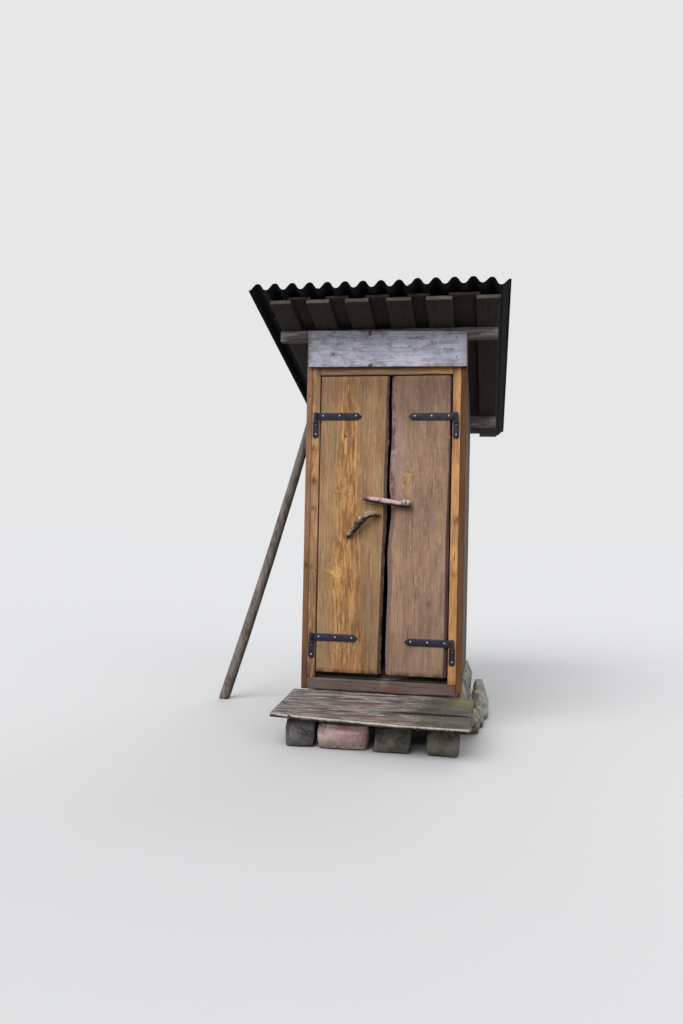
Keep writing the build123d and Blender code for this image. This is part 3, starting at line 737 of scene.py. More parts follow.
# Sign board over the doors: a whitewashed board, bare, its wash worn off along the grain, at the
# edges and round its splits.
whitewashed_board = wood(
    "whitewashed_board", (208, 209, 226), (160, 158, 170), (218, 219, 235), greyed=0.6, checks=0.6,
    contrast=0.35, ring=0.012, mottle=0.35, ends=(120, 104, 92), seed=7.0,
    knots=[(-0.3, 0.03, 0.014, (116, 100, 94)), (0.2, -0.05, 0.012, (120, 104, 98))],
)
sign_low, sign_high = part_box("sign_board")
sign_middle = (sign_low + sign_high) / 2
place = object_place(whitewashed_board)
off = part(vector("SUBTRACT", place, tuple(sign_middle)), "X")
torn = (noise_of(place, 26.0, 4.0, 0.65) - 0.5) * 0.07
to_end = rise(calc("ABSOLUTE", off) + torn, 0.41, 0.46)
to_edge = rise(torn - off["Z"], 0.08, 0.12)
layers(
    whitewashed_board,
    ((132, 122, 122), 0.5, (patches, 0.012, 0.57, 0.7, 0.25)),
    ((136, 128, 132), 0.6, (patches, 0.04, 0.48, 0.62, 0.6, 3.0)),
    ((230, 230, 240), 0.6, (patches, 0.025, 0.54, 0.64, 0.5, 6.0)),
    ((124, 104, 92), 0.5, calc("MAXIMUM", to_end, to_edge)),
    ((62, 52, 46), 0.85, (around, (-0.092, -0.03, 2.215), (0.012, 0.1, 0.03), 0.5)),
    ((62, 52, 46), 0.85, (around, (-0.088, -0.03, 2.02), (0.016, 0.1, 0.018), 0.5)),
)
timber("sign_board", whitewashed_board, RIGHT, -BACK, 0.02, 0.008, 0.0012, 0.005, 0.0015, shuffle=False)

# Roof deck: dark old boards that run down the slope over both beams, an upper layer over the gaps
# of the lower one. The upper layer, seen only in the gaps, gets darker colours and ends as painted shade.
roof_pitch = radians(15.5)
down_slope = Vector((0, cos(roof_pitch), -sin(roof_pitch)))
off_slope = Vector((0, sin(roof_pitch), cos(roof_pitch)))
for layer, title, seed, *colours, ends in (
    ("lower", "deck_boards_finish", 9.0, (66, 56, 48), (36, 29, 26), (68, 61, 56), (98, 88, 80)),
    # The upper layer's darker colours and ends are painted shade.
    ("upper", "dark_deck_finish", 10.0, (48, 36, 33), (28, 21, 20), (51, 43, 41), (62, 52, 49)),
):
    deck = wood("deck_boards", *colours, title, checks=0.5, tone=0.4, ends=ends, ring=0.012, seed=seed)
    timber(f"deck_{layer}_boards", deck, down_slope, off_slope, 0.08, 0.02, 0.0012, 0.003)

# Corrugated bitumen sheets: pressed fibre soaked in bitumen, matt black. Two are lapped side by
# side and nailed down through their crests.
sheet_tree, given, result = new_tree("Bitumen Sheet", {"Sag": 0.002})
lower = noise_of(add(sheet_tree, "GeometryNodeInputPosition"), 3.0, 2.0) * given["Sag"] * -1.0
inputs = {"Geometry": given["Geometry"], "Offset": add(sheet_tree, "ShaderNodeCombineXYZ", {2: lower})}
close_tree(result, add(sheet_tree, "GeometryNodeSetPosition", inputs), given["Material"])

bitumen_sheet = material_of("bitumen_sheet")
place = object_place(bitumen_sheet)
felt = noise_of(place, 420.0, 3.0, 0.7)
dusty = rise(noise_of(place, 9.0, 5.0, 0.65), 0.45, 0.75, 0.0, 0.45)
colour = mixed(dusty, (20, 20, 26), (44, 44, 46))
colour = mixed(rise(felt, 0.45, 0.75, 0.0, 0.5), colour, (14, 14, 18))
dress(bitumen_sheet, colour, 0.8, felt, 0.5, 0.001, **{"Specular IOR Level": 0.15})
sheets = []
for node in ("roof_sheet_left", "roof_sheet_right"):
    net = merged(node)
    sliced(net, down_slope, 0.052)
    sheet = shaped(mesh_of(net, node), f"{node}_felt", sheet_tree, {"Material": bitumen_sheet})
    sheet.data.set_sharp_from_angle(angle=radians(40))
    sheets.append(settle(sheet, node))

# Door leaves: one wide live-edged plank each, oiled once. The left one shows a band of orange
# heartwood that widens to its foot; the waney edges keep the colours of the log's outside, over
# painted shade on the left leaf's live edge. Both leaves also get painted shade towards their tops.


def heart_band(material):
    """The mask of the left plank's heartwood, by height and place across."""
    place = part(object_place(material), "X")
    up = place["Z"]
    inputs = {"Value": up, "From Min": 0.3, "From Max": 1.95, "To Min": 0.118, "To Max": 0.042}
    half = add(up.tree, "ShaderNodeMapRange", inputs, "Result")
    drawn = add(up.tree, "ShaderNodeCombineXYZ", {0: place, 1: 0.0, 2: up * 0.12})
    torn = (noise_of(drawn, 36.0, 6.0, 0.8) - 0.5) * 0.13
    middle = rise(up, 0.3, 0.75, -0.172, -0.205)
    return rise(calc("ABSOLUTE", place - middle + torn) / half, 1.3, 0.5)


def knot_eye(material, x, z, wide, tall, pale, dark, share=0.85, star=0.2):
    """A knot's pale heart on a leaf's face, torn and swirled, in rays where star is near 1."""
    away = vector("SUBTRACT", object_place(material), (x, -0.002, z))
    away = vector("DIVIDE", away, (wide, 0.03, tall))
    turned = vector("ADD", vector("SCALE", vector("NORMALIZE", away), star), away)
    torn = noise_of(turned, 1.2, 4.0, 0.5, 1.0)
    veins = rise(noise_of(turned, 2.6, 4.0, 0.5, 1.0), 0.4, 0.6)
    reach = vector("LENGTH", away) + (torn - 0.5) * 2.2
    layers(material, (mixed(veins, pale, dark), share, rise(reach, 1.15, -0.1)))


def waney(material, side):
    """The mask of a leaf's live edge on one side."""
    return calc("GREATER_THAN", attribute(material, "wane") * side, 0.5)


left_middle = sum(corner.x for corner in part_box("left_leaf")) / 2
right_middle = sum(corner.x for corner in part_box("right_leaf")) / 2
left_plank = wood(
    "left_plank", (178, 140, 102), (120, 88, 60), (158, 128, 98), greyed=0.4, ring=0.017, wander=0.09,
    pith=(-0.208 - left_middle, 0.012), contrast=0.36, lined=0.42, checks=0.1, mottle=0.35, seed=11.0,
    heart=((198, 146, 90), (122, 78, 46), heart_band),
    knots=[
        (1.31, -0.248 - left_middle, 0.03, (176, 122, 70)),
        (0.84, -0.262 - left_middle, 0.042, (202, 150, 86)),
        (0.46, -0.25 - left_middle, 0.024, (196, 146, 86)),
    ],
)
right_plank = wood(
    "right_plank", (164, 130, 104), (108, 80, 62), (156, 130, 112), greyed=0.4, pith=(0.02, 0.04), ring=0.015,
    wander=0.09, contrast=0.27, lined=0.4, checks=0.1, mottle=0.4, seed=14.0,
    knots=[
        (1.404, 0.133 - right_middle, 0.03, (176, 138, 98)), (0.7, 0.26 - right_middle, 0.014, (130, 98, 72)),
    ],
)
heart = heart_band(left_plank)
layers(
    left_plank,
    ((150, 132, 92), 0.35, (patches, 0.06, 0.48, 0.66, 0.5, 1.0)),
    ((146, 98, 72), 0.4, (patches, 0.05, 0.52, 0.66, 0.4, 5.0)),
    ((206, 170, 124), 0.45, (patches, 0.01, 0.54, 0.68, 0.12, 8.0)),
    ((212, 158, 84), 0.4, heart, (patches, 0.04, 0.47, 0.6, 0.3, 2.0)),
    ((122, 78, 48), 0.65, heart, (patches, 0.03, 0.48, 0.61, 0.2, 7.0)),
    ((230, 188, 134), 0.55, heart, (patches, 0.012, 0.52, 0.65, 0.1, 3.0)),
    ((112, 66, 42), 0.7, heart, (patches, 0.012, 0.52, 0.65, 0.08, 9.0)),
)
knot_eye(left_plank, -0.242, 1.31, 0.075, 0.06, (218, 166, 102), (118, 72, 38), 0.6)
knot_eye(left_plank, -0.268, 0.84, 0.07, 0.08, (224, 176, 108), (176, 128, 74), 0.85, 0.0)
knot_eye(left_plank, -0.252, 0.4, 0.03, 0.1, (228, 180, 112), (160, 104, 60), 0.7)
layers(
    left_plank,
    ((84, 62, 52), 0.35, (around, (-0.08, -0.002, 0.58), (0.1, 0.1, 0.5), 0.4, 0.3)),
    # Painted shade: darker towards the top, under the roof.
    ((92, 72, 58), 0.3, (across, "Z", 1.75, 1.95)),
    ((98, 74, 56), 0.3, (across, "Z", 0.85, 0.35)),
    ((116, 90, 70), 0.3, (attribute, "arris")),
    # Painted shade on the live edge's sloping face.
    ((84, 62, 52), 0.85, (waney, 1)),
    ((124, 98, 94), 0.7, (waney, 1), (across, "Z", 1.2, 1.34)),
    ((150, 126, 110), 0.7, (waney, 1), (patches, 0.012, 0.55, 0.65, 0.45)),
    ((222, 172, 112), 0.6, (around, (-0.22, -0.002, 1.575), (0.012, 0.02, 0.06), 0.4)),
    ((34, 20, 16), 1.0, (around, (-0.222, -0.002, 1.629), (0.006, 0.02, 0.008), 0.1)),
)
layers(
    right_plank,
    ((132, 104, 92), 0.35, (patches, 0.07, 0.46, 0.64, 0.6, 1.0)),
    ((182, 148, 116), 0.35, (patches, 0.045, 0.52, 0.66, 0.4, 5.0)),
    ((196, 168, 144), 0.4, (patches, 0.01, 0.54, 0.68, 0.15, 8.0)),
)
knot_eye(right_plank, 0.133, 1.404, 0.06, 0.06, (212, 166, 110), (128, 90, 60), 0.7, 0.8)
layers(
    right_plank,
    ((176, 146, 140), 0.4, (around, (0.085, -0.002, 1.52), (0.045, 0.05, 0.42), 0.4, 0.2)),
    # Painted shade: darker towards the top, under the roof.
    ((86, 66, 60), 0.4, (across, "Z", 1.66, 1.92)),
    ((84, 68, 60), 0.3, (across, "Z", 0.85, 0.35)),
    ((116, 90, 80), 0.3, (attribute, "arris")),
    ((132, 106, 100), 0.9, (waney, -1)),
    ((104, 78, 86), 0.6, (waney, -1), (across, "Z", 1.24, 1.32)),
    ((186, 158, 154), 0.85, (waney, -1), (patches, 0.02, 0.44, 0.6, 0.45), (across, "Z", 1.15, 1.35)),
    ((178, 152, 144), 0.6, (waney, -1), (patches, 0.012, 0.56, 0.66, 0.45, 2.0)),
    ((96, 72, 74), 0.9, (waney, 1)),
    ((192, 168, 164), 0.9, (waney, 1), (patches, 0.014, 0.46, 0.58, 0.45, 5.0), (across, "Z", 1.36, 1.44)),
    ((204, 182, 164), 0.55, (patches, 0.008, 0.6, 0.72, 0.3, 6.0)),
)
for side, plank in (("left", left_plank), ("right", right_plank)):
    timber(f"{side}_leaf", plank, UP, -BACK, 0.03, 0.01, 0.0012, 0.002, 0.001, shuffle=False, arris=0.0015)
for side in ("left", "right"):
    timber(f"{side}_leaf_ledges", aged_timber, RIGHT, BACK)

# Strap hinges: black iron straps, screwed on the leaves, with rolled eyes that turn on the pins of
# plates screwed on the jambs.
black_iron = material_of("black_iron")
place = object_place(black_iron)
rusty = rise(noise_of(place, 60.0, 5.0, 0.7), 0.58, 0.7, 0.0, 0.55)
colour = mixed(rusty, (42, 42, 58), (80, 62, 66))
colour = mixed(rise(noise_of(place, 34.0, 3.0), 0.42, 0.6, 0.0, 0.6), colour, (19, 20, 26))
dress(black_iron, colour, 0.5, noise_of(place, 260.0, 4.0, 0.7), 0.3, 0.0006, Metallic=0.2)
for node in ("left_straps", "right_straps", "left_hinge_plates", "right_hinge_plates"):
    net = flat_faced(node)
    rounded(net, 40, 0.0006, clamp_overlap=True)
    mesh = mesh_of(net, node)
    mesh.materials.append(black_iron)
    mesh.shade_smooth()
    mesh.set_sharp_from_angle(angle=radians(40))
    settle(linked(mesh, f"{node}_iron"), node)

# Screws and nails: low domed heads, slotted on the screws, set by their places on straps, plates
# and boards.
head_tree, given, result = new_tree(
    "Set Heads",
    {"Radius": 0.004, "Dome": 0.3, "Facing": (0, -1, 0), "Slot Depth": 0.0, "Slot Width": 0.0012},
)
radius = given["Radius"]
ball = add(head_tree, "GeometryNodeMeshUVSphere", {"Segments": 14, "Rings": 8, "Radius": radius})
flat = add(head_tree, "ShaderNodeCombineXYZ", {0: 1.0, 1: 1.0, 2: given["Dome"]})
dome = add(head_tree, "GeometryNodeTransform", {"Geometry": ball, "Scale": flat})
deep = radius * 2.0
bar_size = add(head_tree, "ShaderNodeCombineXYZ", {0: deep * 2.0, 1: given["Slot Width"], 2: deep})
bar = add(head_tree, "GeometryNodeMeshCube", {"Size": bar_size})
lift = radius * (given["Dome"] + 1.02) - given["Slot Depth"]
inputs = {"Geometry": bar, "Translation": add(head_tree, "ShaderNodeCombineXYZ", {2: lift})}
inputs = {"Mesh 1": dome, "Mesh 2": add(head_tree, "GeometryNodeTransform", inputs)}
head = add(head_tree, "GeometryNodeMeshBoolean", inputs, operation="DIFFERENCE")
turned = add(head_tree, "FunctionNodeAlignRotationToVector", {"Vector": given["Facing"]}, axis="Z")
inputs = {"Points": given["Geometry"], "Instance": head, "Rotation": turned}
set_heads = add(head_tree, "GeometryNodeInstanceOnPoints", inputs)
inputs = {"Min": 0.0, "Max": 3.1, "Seed": 4}
spin = add(head_tree, "FunctionNodeRandomValue", inputs, "Value", data_type="FLOAT")
inputs = {"Instances": set_heads, "Rotation": add(head_tree, "ShaderNodeCombineXYZ", {2: spin})}
close_tree(result, add(head_tree, "GeometryNodeRotateInstances", inputs), given["Material"])


def set_heads_at(name, places, way, radius, material, body="house", dome=0.35, slot=0.0):
    """Sets a head at each place and hands them to a body as one piece."""
    mesh = bpy.data.meshes.new(name)
    mesh.from_pydata(places, [], [])
    inputs = {"Radius": radius, "Dome": dome, "Facing": tuple(way), "Slot Depth": slot}
    piece = shaped(mesh, name, head_tree, {**inputs, "Material": material})
    piece.data.set_sharp_from_angle(angle=radians(40))
    settle(piece, body=body)


def head_metal(title, clean, dirty, metallic, roughness):
    """Bright or rusted steel for the heads."""
    material = material_of("nail_steel", title)
    worn = rise(noise_of(object_place(material), 240.0), 0.4, 0.7)
    more = {"Specular IOR Level": 0.5, "Metallic": metallic}
    return dress(material, mixed(worn, clean, dirty), roughness, **more)


nail_steel = head_metal("nail_steel_finish", (140, 136, 132), (98, 78, 66), 0.5, 0.45)
rusty_nail = head_metal("rusty_nail_finish", (84, 64, 54), (56, 44, 40), 0.2, 0.7)
screw_steel = head_metal("screw_steel_finish", (190, 190, 200), (140, 142, 154), 0.3, 0.4)

strap_screws = (0.166, 0.259, 0.354)
strap_thickness = 0.004
for side, name in ((-1, "left"), (1, "right")):
    low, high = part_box(f"{name}_straps")
    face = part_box(f"{name}_leaf")[0].y - strap_thickness
    strap_levels = (high.z - 0.016, low.z + 0.022)
    places = [(side * x, face, z) for z in strap_levels for x in strap_screws]
    set_heads_at(f"{name}_strap_screws", places, -BACK, 0.0048, screw_steel, f"{name}_door", slot=0.0008)
    low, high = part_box(f"{name}_hinge_plates")
    middle = (low.x + high.x) / 2
    plate_tops = (high.z - 0.051, low.z + 0.093)
    plate_screws = (0.018, 0.072)
    places = [(middle, -strap_thickness, top - drop) for top in plate_tops for drop in plate_screws]
    set_heads_at(f"{name}_plate_screws", places, -BACK, 0.0046, screw_steel, slot=0.0008)


def boxes_of(node):
    """The lowest and highest corner of each solid of a node."""
    net = merged(node)
    boxes = []
    for group in solids(net):
        boxes.append([Vector([pick(v.co[i] for v in group) for i in range(3)]) for pick in (min, max)])
    net.free()
    return boxes


def nail_through(name, boards, bearers, way, wide):
    """Two nails wherever a board crosses a bearer, on the board's face that looks a given way."""
    least_crossing, head_sunk = 0.015, 0.0008
    deep = max(range(3), key=lambda i: abs(way[i]))
    outer = 1 if way[deep] > 0 else 0
    places = []
    for board in boxes_of(boards):
        for bearer in [box for node in bearers for box in boxes_of(node)]:
            start = [max(board[0][i], bearer[0][i]) for i in range(3)]
            end = [min(board[1][i], bearer[1][i]) for i in range(3)]
            if any(end[i] - start[i] < least_crossing for i in range(3) if i != deep):
                continue
            for share in (0.22, 0.78):
                place = [(start[i] + end[i]) / 2 for i in range(3)]
                place[wide] = start[wide] + share * (end[wide] - start[wide])
                place[deep] = board[outer][deep] - head_sunk * way[deep]
                places.append(place)
    set_heads_at(name, places, way, 0.0036, rusty_nail)


for side, outward in (("left", -RIGHT), ("right", RIGHT)):
    bearers = (f"{side}_wall_rails", "side_sills")
    nail_through(f"{side}_wall_nails", f"{side}_wall_boards", bearers, outward, 1)
nail_through("back_wall_nails", "back_wall_boards", ("back_wall_rail", "rear_sill"), BACK, 0)
nail_levels = (0.34, 0.72, 1.1, 1.48, 1.86)
places = []
for low, high in boxes_of("corner_boards"):
    places += [((low.x + high.x) / 2, low.y + 0.0008, z) for z in nail_levels]
set_heads_at("corner_board_nails", places, -BACK, 0.0034, rusty_nail)
places = [(x, sign_low.y + 0.001, sign_middle.z + z) for x in (-0.39, 0.39) for z in (-0.055, 0.055)]
set_heads_at("sign_nails", places, -BACK, 0.0038, rusty_nail)


def dropped(piece, places):
    """Places (x, y) let down on a piece."""
    net = bmesh.new()
    net.from_mesh(piece.data)
    hull = BVHTree.FromBMesh(net)
    net.free()
    found = [hull.ray_cast(Vector((x, y, 5)), -UP)[0] for x, y in places]
    return [point for point in found if point]


wave_pitch = 0.095
crest_nails = []
beams = [(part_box(node)[0].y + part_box(node)[1].y) / 2 for node in ("front_beam", "rear_beam")]
for sheet, start, crests in ((sheets[0], -0.706, 9), (sheets[1], 0.149, 5)):
    rows = [(start + wave_pitch * (0.5 + crest), y) for crest in range(crests) for y in beams]
    crest_nails += dropped(sheet, rows)
cap_finish = material_of("bitumen_sheet", "nail_cap_finish")
tint = mixed(noise_of(object_place(cap_finish), 90.0), (26, 26, 30), (44, 42, 42))
dress(cap_finish, tint, 0.55, **{"Specular IOR Level": 0.5})
set_heads_at("sheet_nail_caps", crest_nails, off_slope, 0.011, cap_finish, dome=0.5)

# Latch stick, its nail and the crooked handle: branches cut in the wood, peeled or in their bark.
# The stick turns on its nail in the right leaf, and the handle is fixed on the left one.
bark_tree, given, result = new_tree(
    "Branch Skin",
    {"Along": (1, 0, 0), "Rounding": 2, "Ridge Depth": 0.0012, "Ridge Size": 0.008, "Lump Depth": 0.0015,
     "Swell": 0.0, "Knob Place": (0, 0, 0), "Knob Reach": 0.02, "Knob Height": 0.0},
)
place = add(bark_tree, "GeometryNodeInputPosition")
stretch = vector("SCALE", given["Along"], vector("DOT_PRODUCT", place, given["Along"]) * 0.8)
long_grain = vector("SUBTRACT", place, stretch)
ridges = noise_of(long_grain, 1.0 / given["Ridge Size"], 3.0, 0.6)
lumps = noise_of(place, 44.0, 3.0) * given["Lump Depth"]
to_knob = vector("DISTANCE", place, given["Knob Place"]) / given["Knob Reach"]
knob = rise(to_knob, 1.0, 0.2) * given["Knob Height"]
depth = ridges * given["Ridge Depth"] + lumps - given["Swell"] - knob
close_tree(result, sunk(eased(place, given), depth), given["Material"])


def bark(slot, base, ridge, patch, stretch, size=0.01, spotted=0.6, under=None):
    """Bark or peeled wood with long ridges, patches of another colour and painted shade on its underside,
    darker where the surface faces down.
    """
    material = material_of(slot)
    inputs = {"Vector": object_place(material), "Scale": stretch}
    place = add(material.node_tree, "ShaderNodeMapping", inputs)
    ridges = noise_of(place, 1 / size, 5.0, 0.7)
    spots = noise_of(place, 0.25 / size, 4.0, 0.65)
    colour = mixed(rise(ridges, 0.42, 0.62), base, ridge)
    colour = mixed(rise(spots, 0.5, 0.64, 0.0, spotted), colour, patch)
    if under:
        # Painted shade: the under colour darkens the faces that look down.
        colour = mixed(rise(facing(material, "Z") + spots * 0.6, 0.35, -0.25), colour, under)
    return dress(material, colour, 0.85, ridges)


def branch(node, material, voxel, along, **sizes):
    """A node's branch with an uneven skin."""
    inputs = {"Along": along, "Material": material, **sizes}
    settle(shaped(mesh_of(merged(node), node), f"{node}_skin", bark_tree, inputs, voxel), node)


# The last colour is the painted shade of the stick's underside.
latch_branch = bark(
    "latch_branch", (206, 184, 180), (146, 118, 114), (84, 62, 58), (0.45, 1, 1), 0.006, 0.9, (52, 36, 34),
)
layers(
    latch_branch,
    ((70, 48, 50), 0.8, (around, (-0.1, -0.03, 1.279), (0.034, 0.04, 0.03), 0.5, 0.4)),
    ((60, 42, 40), 0.8, (around, (0.158, -0.04, 1.246), (0.02, 0.05, 0.03), 0.5, 0.4)),
    ((62, 42, 44), 0.9, (around, (0.112, -0.07, 1.252), (0.01, 0.05, 0.02), 0.5, 0.4)),
    ((74, 52, 54), 0.9, (around, (0.131, -0.07, 1.262), (0.007, 0.05, 0.018), 0.5, 0.4)),
    ((226, 208, 204), 0.8, (around, (0.121, -0.07, 1.271), (0.008, 0.04, 0.008), 0.5, 0.4)),
    ((222, 202, 196), 0.7, (around, (0.142, -0.07, 1.266), (0.009, 0.04, 0.009), 0.5, 0.4)),
    ((224, 208, 206), 0.6, (around, (0.014, -0.07, 1.26), (0.05, 0.04, 0.007), 0.5, 0.4)),
)
# The last colour is the painted shade of the handle's underside.
handle_branch = bark(
    "handle_branch", (136, 120, 98), (82, 68, 56), (190, 172, 160), (0.7, 1, 0.7), 0.008, 0.8, (42, 32, 28),
)
layers(
    handle_branch,
    ((142, 128, 88), 0.6, (around, (-0.05, -0.06, 1.204), (0.06, 0.06, 0.02), 0.5, 0.4)),
    ((150, 134, 110), 0.5, (around, (-0.185, -0.04, 1.092), (0.03, 0.06, 0.024), 0.5, 0.4)),
    # Painted highlight on the top of the knee.
    ((206, 192, 194), 0.75, (around, (-0.122, -0.07, 1.172), (0.014, 0.05, 0.012), 0.5, 0.4)),
    ((196, 184, 164), 0.6, (around, (-0.094, -0.07, 1.204), (0.014, 0.05, 0.009), 0.5, 0.4)),
    ((38, 28, 28), 0.85, (around, (-0.147, -0.06, 1.143), (0.016, 0.05, 0.014), 0.5, 0.4)),
    ((44, 34, 32), 0.7, (around, (-0.1, -0.06, 1.168), (0.02, 0.05, 0.012), 0.5, 0.4)),
)
knobby = {"Swell": 0.0025, "Knob Place": (0.128, -0.06, 1.272), "Knob Reach": 0.024, "Knob Height": 0.006}
branch("latch_stick", latch_branch, 0.002, (1, 0, 0), **knobby)
uneven = {"Lump Depth": 0.012, "Ridge Depth": 0.002, "Swell": 0.0075, "Knob Place": (-0.122, -0.06, 1.18),
          "Knob Reach": 0.03, "Knob Height": 0.007}
branch("left_handle", handle_branch, 0.002, (0.8, 0, 0.6), **uneven)
frame["nodes"]["latch_nail"].data.materials.clear()
frame["nodes"]["latch_nail"].data.materials.append(nail_steel)

# Step: three boards with open joints, on bearers and squarish stones. Their old red paint is
# nearly gone, and the right-hand ends are mossy. The front faces carry painted shade below a
# painted highlight along their top edge, and the open joint at the right is painted dark as shade.
step_boards = wood(
    "step_boards", (128, 118, 110), (62, 54, 52), (118, 112, 106), greyed=0.6, checks=0.9, tone=0.1,
    ends=(84, 76, 68), ring=0.014, contrast=0.8, mottle=0.4, seed=12.0,
)
step_slope = radians(2)
step_up = Vector((0, -sin(step_slope), cos(step_slope)))
step_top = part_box("step_board_back")[1].dot(step_up)
place = object_place(step_boards)
forward = facing(step_boards, "Y")
under_top = step_top - vector("DOT_PRODUCT", place, tuple(step_up))
# Mask of the top strip of the front faces, for a painted highlight.
highlight_rim = rise(under_top + (noise_of(place, 60.0, 4.0, 0.7) - 0.5) * 0.024, 0.012, 0.004)
layers(
    step_boards,
    ((58, 50, 52), 0.55, (patches, 0.06, 0.46, 0.6, 0.3, 1.0)),
    ((172, 162, 158), 0.55, (patches, 0.045, 0.48, 0.62, 0.25, 4.0)),
    ((42, 35, 36), 0.75, (patches, 0.012, 0.5, 0.6, 0.08, 7.0)),
    ((200, 194, 186), 0.8, (patches, 0.012, 0.54, 0.63, 0.07, 10.0)),
    ((112, 66, 66), 0.45, (around, (-0.26, -0.38, 0.19), (0.1, 0.06, 0.1), 0.8, 0.1)),
    ((112, 66, 66), 0.45, (around, (-0.05, -0.44, 0.19), (0.12, 0.05, 0.1), 0.8, 0.1)),
    ((112, 66, 66), 0.45, (around, (0.1, -0.51, 0.18), (0.16, 0.05, 0.1), 0.8, 0.1)),
    ((112, 66, 66), 0.45, (around, (-0.08, -0.25, 0.19), (0.2, 0.06, 0.1), 0.8, 0.1)),
    ((52, 52, 40), 0.75, (around, (0.42, -0.3, 0.19), (0.28, 0.6, 0.2), 0.5, 0.4)),
    ((110, 112, 56), 0.5, (around, (0.47, -0.1, 0.19), (0.12, 0.12, 0.1), 0.7, 0.2)),
    ((160, 152, 140), 0.4, (attribute, "arris")),
    # Painted shade on the lower part of the front faces.
    ((44, 38, 36), 0.6, rise(forward, -0.4, -0.6), rise(under_top, 0.008, 0.014)),
    # Painted highlight along the top of the front faces.
    ((196, 188, 170), 0.75, rise(forward, -0.2, -0.4), highlight_rim, (across, "Y", -0.49, -0.515)),
    ((176, 168, 158), 0.6, (around, (-0.22, -0.088, 0.19), (0.3, 0.01, 0.1), 0.4, 0.5)),
    # Painted shade in the open joint between the boards at the right.
    ((22, 18, 16), 0.95, (around, (0.3, -0.366, 0.19), (0.3, 0.03, 0.1), 0.25, 0.6)),
)
step_nails = []
for node, rows in (
    ("step_board_back", ((-0.16, -0.285), (-0.18, -0.3))),
    ("step_board_front", ((-0.415, -0.525), (-0.43, -0.56))),
):
    board = timber(node, step_boards, RIGHT, step_up, 0.02, 0.008, 0.0015, 0.0035, 0.002, shuffle=False)
    for x, row in zip((-0.29, 0.372), rows):
        step_nails += dropped(board, [(x, y) for y in row])
set_heads_at("step_nails", step_nails, UP, 0.0048, nail_steel)
timber("step_bearers", sill_timber, BACK, UP)
grey_block = stone(
    "grey_stone", (112, 108, 107), (72, 68, 70), (156, 152, 150), (42, 40, 42), 0.42, 0.25, grain_size=0.0028,
    title="grey_block_finish",
)
cracked(grey_block, 0.06, 0.7, (34, 32, 34))
pink_granite = stone(
    "pink_granite", (208, 160, 160), (238, 220, 218), (240, 224, 222), (136, 104, 104), 0.35, 0.15,
    cloud_size=0.08, grain_size=0.0035,
)
layers(
    pink_granite,
    ((206, 150, 150), 0.4, (around, (-0.13, -0.49, 0.07), (0.12, 0.2, 0.05), 0.7, 0.3)),
    ((252, 236, 232), 0.8, (around, (-0.19, -0.49, 0.124), (0.05, 0.2, 0.012), 0.7, 0.3)),
    ((246, 224, 218), 0.7, (around, (-0.1, -0.49, 0.09), (0.09, 0.2, 0.012), 0.7, 0.3)),
    ((214, 124, 136), 0.6, (around, (-0.14, -0.49, 0.11), (0.11, 0.2, 0.01), 0.7, 0.3)),
    ((236, 208, 202), 0.7, (around, (-0.03, -0.49, 0.12), (0.03, 0.2, 0.014), 0.7, 0.3)),
    ((120, 92, 88), 0.5, (around, (0.0, -0.49, 0.07), (0.03, 0.2, 0.04), 0.7, 0.3)),
)
cracked(pink_granite, 0.05, 0.75, (104, 70, 72))
cracked(pink_granite, 0.028, 0.5, (128, 92, 94))
layers(pink_granite, ((112, 98, 82), 0.65, (across, "Z", 0.09, 0.03)))
dark_stone = stone(
    "dark_stone", (116, 112, 102), (74, 72, 66), (146, 141, 128), (48, 47, 44), 0.4, 0.4, grain_size=0.003,
)
cracked(dark_stone, 0.06, 0.7, (30, 28, 26))
hewn = {"Boss Depth": 0.012, "Boss Size": 0.075, "Grit Depth": 0.003}
lay_stones("step_stone_grey", grey_block, 0.005, 7, 0.02, **hewn)
lay_stones("step_stone_pink", pink_granite, 0.005, 12, 0.03, **hewn, Rounding=2)
lay_stones("step_stones_dark", dark_stone, 0.005, 12, 0.03, **hewn)
lay_stones("step_stones_rear", dark_stone, chip_depth=0.018)

# Pole that props the left wall: a young trunk in its bark, cut level at its foot and flat to the
# wall boards at its top.
bark_pole = bark("bark_pole", (132, 120, 112), (84, 74, 68), (156, 146, 136), (1, 1, 0.15), 0.012)
branch("prop_pole", bark_pole, 0.006, (0.3, 0, 0.95))

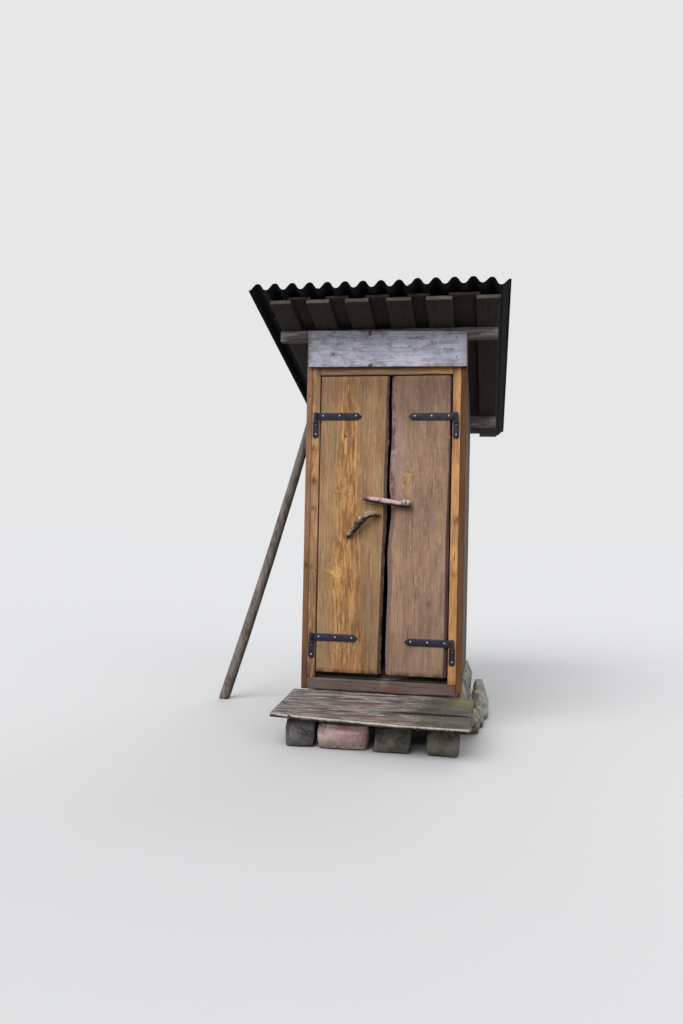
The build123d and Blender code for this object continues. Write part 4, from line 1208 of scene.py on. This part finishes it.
# Studio: a pale floor that keeps the shadow, wide soft suns that light it evenly as far as its
# edge, and a camera at the photograph's angle.
floor_half = 60.0
floor_mesh = bpy.data.meshes.new("studio_floor")
corners = [(x * floor_half, y * floor_half, 0) for x, y in ((-1, -1), (1, -1), (1, 1), (-1, 1))]
floor_mesh.from_pydata(corners, [], [(0, 1, 2, 3)])
floor_paint = material_of("studio_floor")
path = add(floor_paint.node_tree, "ShaderNodeLightPath")
seen = calc("MAXIMUM", path["Is Camera Ray"], path["Is Glossy Ray"])
pale_floor = mixed(seen, (0.09, 0.09, 0.088, 1), (0.56, 0.56, 0.557, 1))
dress(floor_paint, pale_floor, 1.0, **{"Specular IOR Level": 0.0})
floor_mesh.materials.append(floor_paint)
linked(floor_mesh, "studio_floor")

world = bpy.data.worlds.new("studio")
scene.world = world
world.use_nodes = True
path = add(world.node_tree, "ShaderNodeLightPath")
mirrored = calc("MAXIMUM", path["Is Glossy Ray"], path["Is Transmission Ray"])
seen = calc("MAXIMUM", path["Is Camera Ray"], mirrored)
sky = mixed(seen, (0.54, 0.55, 0.58, 1), (0.8, 0.8, 0.8, 1))
fill(world.node_tree.nodes["Background"], {"Color": sky})


def sun(name, place, strength, spread):
    """A soft sun that shines from a place towards the middle of the floor."""
    light = bpy.data.lights.new(name, "SUN")
    light.energy = strength
    light.angle = radians(spread)
    holder = linked(light, name)
    holder.matrix_world = Vector(place).to_track_quat("Z", "Y").to_matrix().to_4x4()


sun("key", (-2.5, -5.5, 6.0), 2.5, 50)
sun("fill", (4.5, -4.5, 3.0), 0.5, 50)
sun("rear", (1.0, 6.0, 5.0), 1.2, 50)

camera_place = Vector((0.5896, -4.5277, 1.1633))
camera_yaw, camera_pitch, camera_roll = radians(10.350), radians(0.494), radians(1.164)
camera = bpy.data.cameras.new("camera")
camera.sensor_fit = "AUTO"
camera.sensor_width = 36
camera.lens = 28.69
camera.clip_end = 200
level = Vector((cos(camera_yaw), sin(camera_yaw), 0))
ahead = Vector((-sin(camera_yaw), cos(camera_yaw), 0))
forward = ahead * cos(camera_pitch) + UP * sin(camera_pitch)
upright = level.cross(forward)
right = level * cos(camera_roll) + upright * sin(camera_roll)
up = upright * cos(camera_roll) - level * sin(camera_roll)
viewer = linked(camera, "camera")
turned = Matrix((right, up, -forward)).transposed().to_4x4()
viewer.matrix_world = Matrix.Translation(camera_place) @ turned
scene.camera = viewer
scene.view_settings.view_transform = "Standard"
